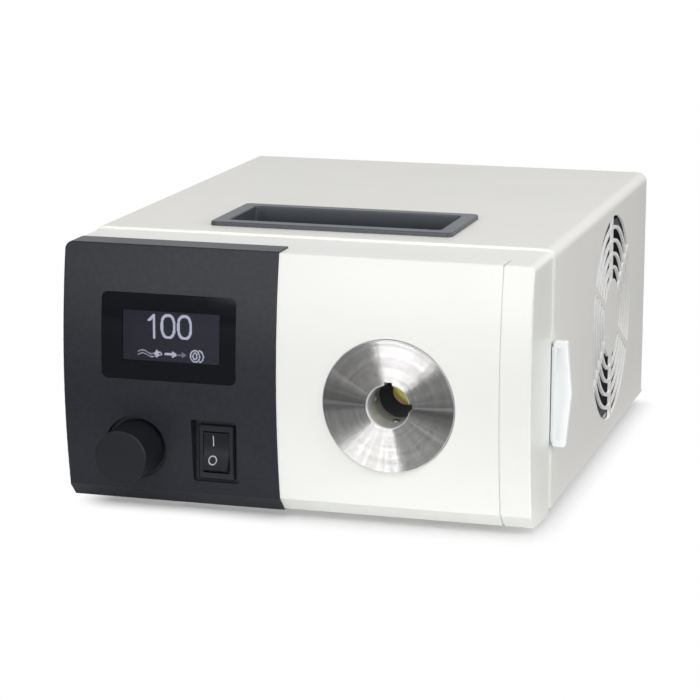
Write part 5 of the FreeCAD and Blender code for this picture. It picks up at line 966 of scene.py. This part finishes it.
def display_picture():
    """Strokes of the picture: the level in percent above a light guide going into its port.

    Each is (points in columns and rows, half width in dots, brightness).
    """
    digits = [
        ([(35.0, 11.6), (41.7, 5.4), (41.7, 33.4)], 1.75, 1.0),
        (oval(60.3, 18.7, 8.3, 14.0, squareness=2.5), 1.75, 1.0),
        (oval(82.3, 18.7, 8.3, 14.0, squareness=2.5), 1.75, 1.0),
    ]
    guide = [
        (wavy(19.6, 41.0, 52.3, 52.0, 2.2, 0.9), 0.55, 0.8),
        (wavy(19.6, 42.0, 56.2, 55.8, 2.2, 0.9), 0.55, 0.8),
        ([(44.6, 50.0), (44.6, 57.6)], 1.2, 1.0),
        ([(42.2, 53.8), (44.6, 51.4), (47.5, 52.2)], 1.1, 1.0),
        ([(42.2, 53.8), (44.6, 56.2), (47.5, 55.4)], 1.1, 1.0),
        (oval(48.6, 53.8, 2.6, 1.9), 0.7, 0.9),
    ]
    arrows = [
        ([(56.0, 53.8), (66.0, 53.8)], 1.3, 0.95),
        ([(66.0, 50.6), (70.6, 53.8), (66.0, 57.0), (66.0, 50.6)], 0.8, 0.95),
        ([(66.4, 53.8), (69.5, 53.8)], 2.0, 0.95),
        ([(73.2, 53.8), (79.0, 53.8)], 1.2, 0.34),
        ([(78.6, 51.0), (82.8, 53.8), (78.6, 56.6), (78.6, 51.0)], 0.8, 0.34),
        ([(79.0, 53.8), (82.0, 53.8)], 1.6, 0.34),
    ]
    port = [
        (oval(95.8, 54.2, 6.0, 7.2), 0.85, 0.95),
        (oval(95.8, 54.2, 2.6, 4.0), 0.85, 0.95),
        (oval(100.6, 54.2, 6.2, 7.2, -82, 82), 0.85, 0.95),
    ]
    return digits + guide + arrows + port


class LightDisplay(bpy.types.Operator):
    """Finish the window and the display, and set the lit dots of its picture"""

    bl_idname = "light_source.light_display"
    bl_label = "Display"

    def execute(self, context):
        look = context.scene.light_source_display
        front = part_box("display_module")[0].y
        middle = sum(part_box("display_window"), Vector()) / 2
        centre_x, centre_z = middle.x + look.shift_x, middle.z + look.shift_z
        opening_x, opening_z = middle.x + look.opening_x, middle.z + look.opening_z
        clear_x = (opening_x - look.opening_width / 2, opening_x + look.opening_width / 2)
        clear_z = (opening_z - look.opening_height / 2, opening_z + look.opening_height / 2)
        dress(smoked_window("smoked_window", clear_x, clear_z), "display_window")
        border_x, border_z = 0.0020, 0.0015
        lit_size = (look.width + 2 * border_x, look.height + 2 * border_z)
        panel = display_panel("display_panel", (centre_x, centre_z), lit_size, front)
        dress(panel, "display_module")

        dot_depth, dot_rise, dot_share = 0.00004, 0.00003, 0.98
        pitch_x, pitch_z = look.width / look.columns, look.height / look.rows
        left, top = centre_x - look.width / 2, centre_z + look.height / 2
        picture = display_picture()
        points, levels = [], []
        for row in range(look.rows):
            for column in range(look.columns):
                here = (column + 0.5, row + 0.5)
                hits = [level for line, half, level in picture if to_stroke(here, line) <= half]
                if hits:
                    place = (left + here[0] * pitch_x, front - dot_rise, top - here[1] * pitch_z)
                    points.append(place)
                    levels.append(max(hits))
        ink = lit_dots("display_dots", tuple(look.glow))
        piece = new_piece("display_dots", points, [], ink)
        piece.data.attributes.new("level", "FLOAT", "POINT").data.foreach_set("value", levels)
        width = min(pitch_x, pitch_z) * dot_share
        dot_matrix_tree().grow(piece, {"Dot": width, "Depth": dot_depth, "Ink": ink})
        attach(piece, HOUSING)
        return {"FINISHED"}


class PrintSwitchMarks(bpy.types.Operator):
    """Print the I and the O on the rocker"""

    bl_idname = "light_source.print_switch_marks"
    bl_label = "Switch marks"

    def execute(self, context):
        look = context.scene.light_source_switch
        front = surface_under("switch_rocker")
        ink = pad_print("switch_ink", tuple(look.ink))
        middle = sum(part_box("switch_rocker"), Vector()) / 2
        x, line_z, ring_z = middle.x + look.shift_x, middle.z + look.line_rise, middle.z - look.ring_drop
        line_steps, ring_steps = 12, 48
        half, proud = look.stroke / 2, 0.00003
        rows = [line_z + look.line_length * (index / line_steps - 0.5) for index in range(line_steps + 1)]
        sides = [[(x + shift, z) for z in rows] for shift in (-half, half)]
        line = raised_strip("switch_mark_line", *sides, False, front, proud, ink)
        turns = [2 * math.pi * index / ring_steps for index in range(ring_steps)]
        outer = look.ring_size / 2
        circles = [
            [(x + radius * math.cos(turn), ring_z + radius * math.sin(turn)) for turn in turns]
            for radius in (outer - look.stroke, outer)
        ]
        ring = raised_strip("switch_mark_ring", *circles, True, front, proud, ink)
        for piece in (line, ring):
            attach(piece, "rocker")
        return {"FINISHED"}


# ---- Stage ----
def softbox(name, place, target, width, height, power):
    """A rectangular area lamp that faces a target."""
    lamp = bpy.data.lights.new(name, "AREA")
    lamp.shape = "RECTANGLE"
    lamp.size, lamp.size_y = width, height
    lamp.energy = power
    holder = bpy.data.objects.new(name, lamp)
    holder.location = place
    holder.rotation_euler = (Vector(target) - Vector(place)).to_track_quat("-Z", "Y").to_euler()
    bpy.context.scene.collection.objects.link(holder)


class SetStage(bpy.types.Operator):
    """Lay the floor and set the surroundings, the lamps and the camera"""

    bl_idname = "light_source.set_stage"
    bl_label = "Stage"

    def floor_material(self, look):
        """Pale floor: the camera sees it white, but for the shadow close to the housing."""
        ground = Surface("stage_floor", Specular_IOR_Level=0.0)
        x, y, _ = ground.axes()
        right_of_housing = x.eased(0.08, 0.13) * y.eased(-0.13, -0.09)
        far_off = ground.distance(x, y).eased(0.20, 0.30)
        beyond = far_off.at_least(right_of_housing)
        dull = ground.noise(0.5, 2.0)
        colour = ground.blend(beyond, tuple(look.floor), tuple(look.table_edge))
        ground.finish(Base_Color=ground.blend(0.03 * dull, colour, (0.5, 0.5, 0.5)), Roughness=0.9)
        low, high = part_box("front_frame")[0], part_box("top_cover")[1]
        middle, half = (low + high) / 2, (high - low) / 2
        apart_x = (abs(x - middle.x - look.shadow_shift) - (half.x - look.shadow_inset)).at_least(0.0)
        left_part = 1 - x.eased(-0.07, 0.03)
        drawn_in = look.shadow_taper * left_part
        apart_y = (abs(y - middle.y) - (half.y - look.shadow_inset - drawn_in)).at_least(0.0)
        apart = ground.distance(apart_x, apart_y).eased(0.0, look.shadow_reach)
        white_in_shadow = 0.25
        white = ground.nodes.new("ShaderNodeEmission")
        mixed = ground.nodes.new("ShaderNodeMixShader")
        share = white_in_shadow + (1 - white_in_shadow) * apart
        ground.feed(mixed.inputs[0], ground.ray("Is Camera Ray") * share)
        ground.links.new(ground.shader.outputs[0], mixed.inputs[1])
        ground.links.new(white.outputs[0], mixed.inputs[2])
        output = next(n for n in ground.nodes if n.type == "OUTPUT_MATERIAL")
        ground.links.new(mixed.outputs[0], output.inputs["Surface"])
        return ground.material

    def surroundings(self, sky, room):
        """Even light, weaker from the room in front; camera, glass and metal see white behind the object."""
        world = bpy.data.worlds.new("surroundings")
        world.use_nodes = True
        bpy.context.scene.world = world
        graph = Graph(world.node_tree)
        background = graph.nodes["Background"]
        background.inputs["Color"].default_value = (1.0, 1.0, 1.0, 1.0)
        back = graph.axes(graph.place("Generated"))[1]
        level = room + (sky - room) * back.eased(-0.75, -0.15)
        gloss = graph.ray("Is Glossy Ray").at_least(graph.ray("Is Transmission Ray"))
        white = graph.ray("Is Camera Ray").at_least(gloss * back.eased(-0.1, 0.5))
        graph.feed(background.inputs["Strength"], level.at_least(white))

    def place_camera(self, scene, look):
        """A long lens that looks at the front, a little from the right and from above."""
        camera = bpy.data.cameras.new("camera")
        camera.sensor_width = 36.0
        camera.lens = look.lens
        camera.clip_start, camera.clip_end = 0.05, 30.0
        holder = bpy.data.objects.new("camera", camera)
        low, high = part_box("top_cover")
        place = Vector((high.x, low.y, high.z)) + Vector(look.camera_place)
        degrees_to_left, degrees_down, degrees_of_roll = 15.95, 12.37, 0.14
        to_left = Matrix.Rotation(math.radians(degrees_to_left), 4, "Z")
        down = Matrix.Rotation(math.radians(90 - degrees_down), 4, "X")
        roll = Matrix.Rotation(math.radians(degrees_of_roll), 4, "Z")
        holder.matrix_world = Matrix.Translation(place) @ to_left @ down @ roll
        scene.collection.objects.link(holder)
        scene.camera = holder

    def execute(self, context):
        look = context.scene.light_source_stage
        reach, drop = 6.0, -0.0002
        corners = [(reach * x, reach * y, drop) for x, y in ((-1, -1), (1, -1), (1, 1), (-1, 1))]
        floor = new_piece("stage_floor", corners, [(0, 1, 2, 3)], self.floor_material(look))
        self.surroundings(look.sky, look.room)
        target = (0.03, -0.10, 0.05)
        softbox("high_softbox", (0.09, -1.15, 0.95), target, 1.35, 0.40, look.high_light)
        softbox("low_softbox", (-0.10, -1.60, 0.30), target, 0.80, 0.30, look.low_light)
        softbox("side_softbox", (1.50, -0.38, 0.45), target, 0.80, 0.80, look.side_light)
        softbox("top_softbox", (0.10, 0.10, 1.50), target, 1.0, 1.0, look.top_light)
        self.place_camera(context.scene, look)
        context.scene.view_settings.view_transform = "Standard"
        return {"FINISHED"}


# ---- Panel and registration ----
OPERATORS = (
    PaintHousing, PaintMetal, PaintOptics, PaintElectronics,
    FitSprings, LightDisplay, PrintSwitchMarks, SetStage,
)

SETTINGS = {
    "light_source_housing": HousingSettings,
    "light_source_display": DisplaySettings,
    "light_source_switch": SwitchSettings,
    "light_source_stage": StageSettings,
}


class LightSourcePanel(bpy.types.Panel):
    """Settings and steps of the bench light source"""

    bl_idname = "VIEW3D_PT_light_source"
    bl_label = "Bench light source"
    bl_space_type = "VIEW_3D"
    bl_region_type = "UI"
    bl_category = "Light source"

    def draw(self, context):
        layout = self.layout
        for name in SETTINGS:
            box = layout.box()
            group = getattr(context.scene, name)
            for key in group.bl_rna.properties.keys():
                if key not in {"rna_type", "name"}:
                    box.prop(group, key)
        for operator in OPERATORS:
            layout.operator(operator.bl_idname)


def register():
    for kind in (*SETTINGS.values(), *OPERATORS, LightSourcePanel):
        bpy.utils.register_class(kind)
    for name, kind in SETTINGS.items():
        setattr(bpy.types.Scene, name, bpy.props.PointerProperty(type=kind))


def unregister():
    for name in SETTINGS:
        delattr(bpy.types.Scene, name)
    for kind in reversed((*SETTINGS.values(), *OPERATORS, LightSourcePanel)):
        bpy.utils.unregister_class(kind)


def main():
    """Registers the add-on and runs every step in order."""
    register()
    for operator in OPERATORS:
        group, name = operator.bl_idname.split(".")
        getattr(getattr(bpy.ops, group), name)()


if __name__ == "__main__":
    main()
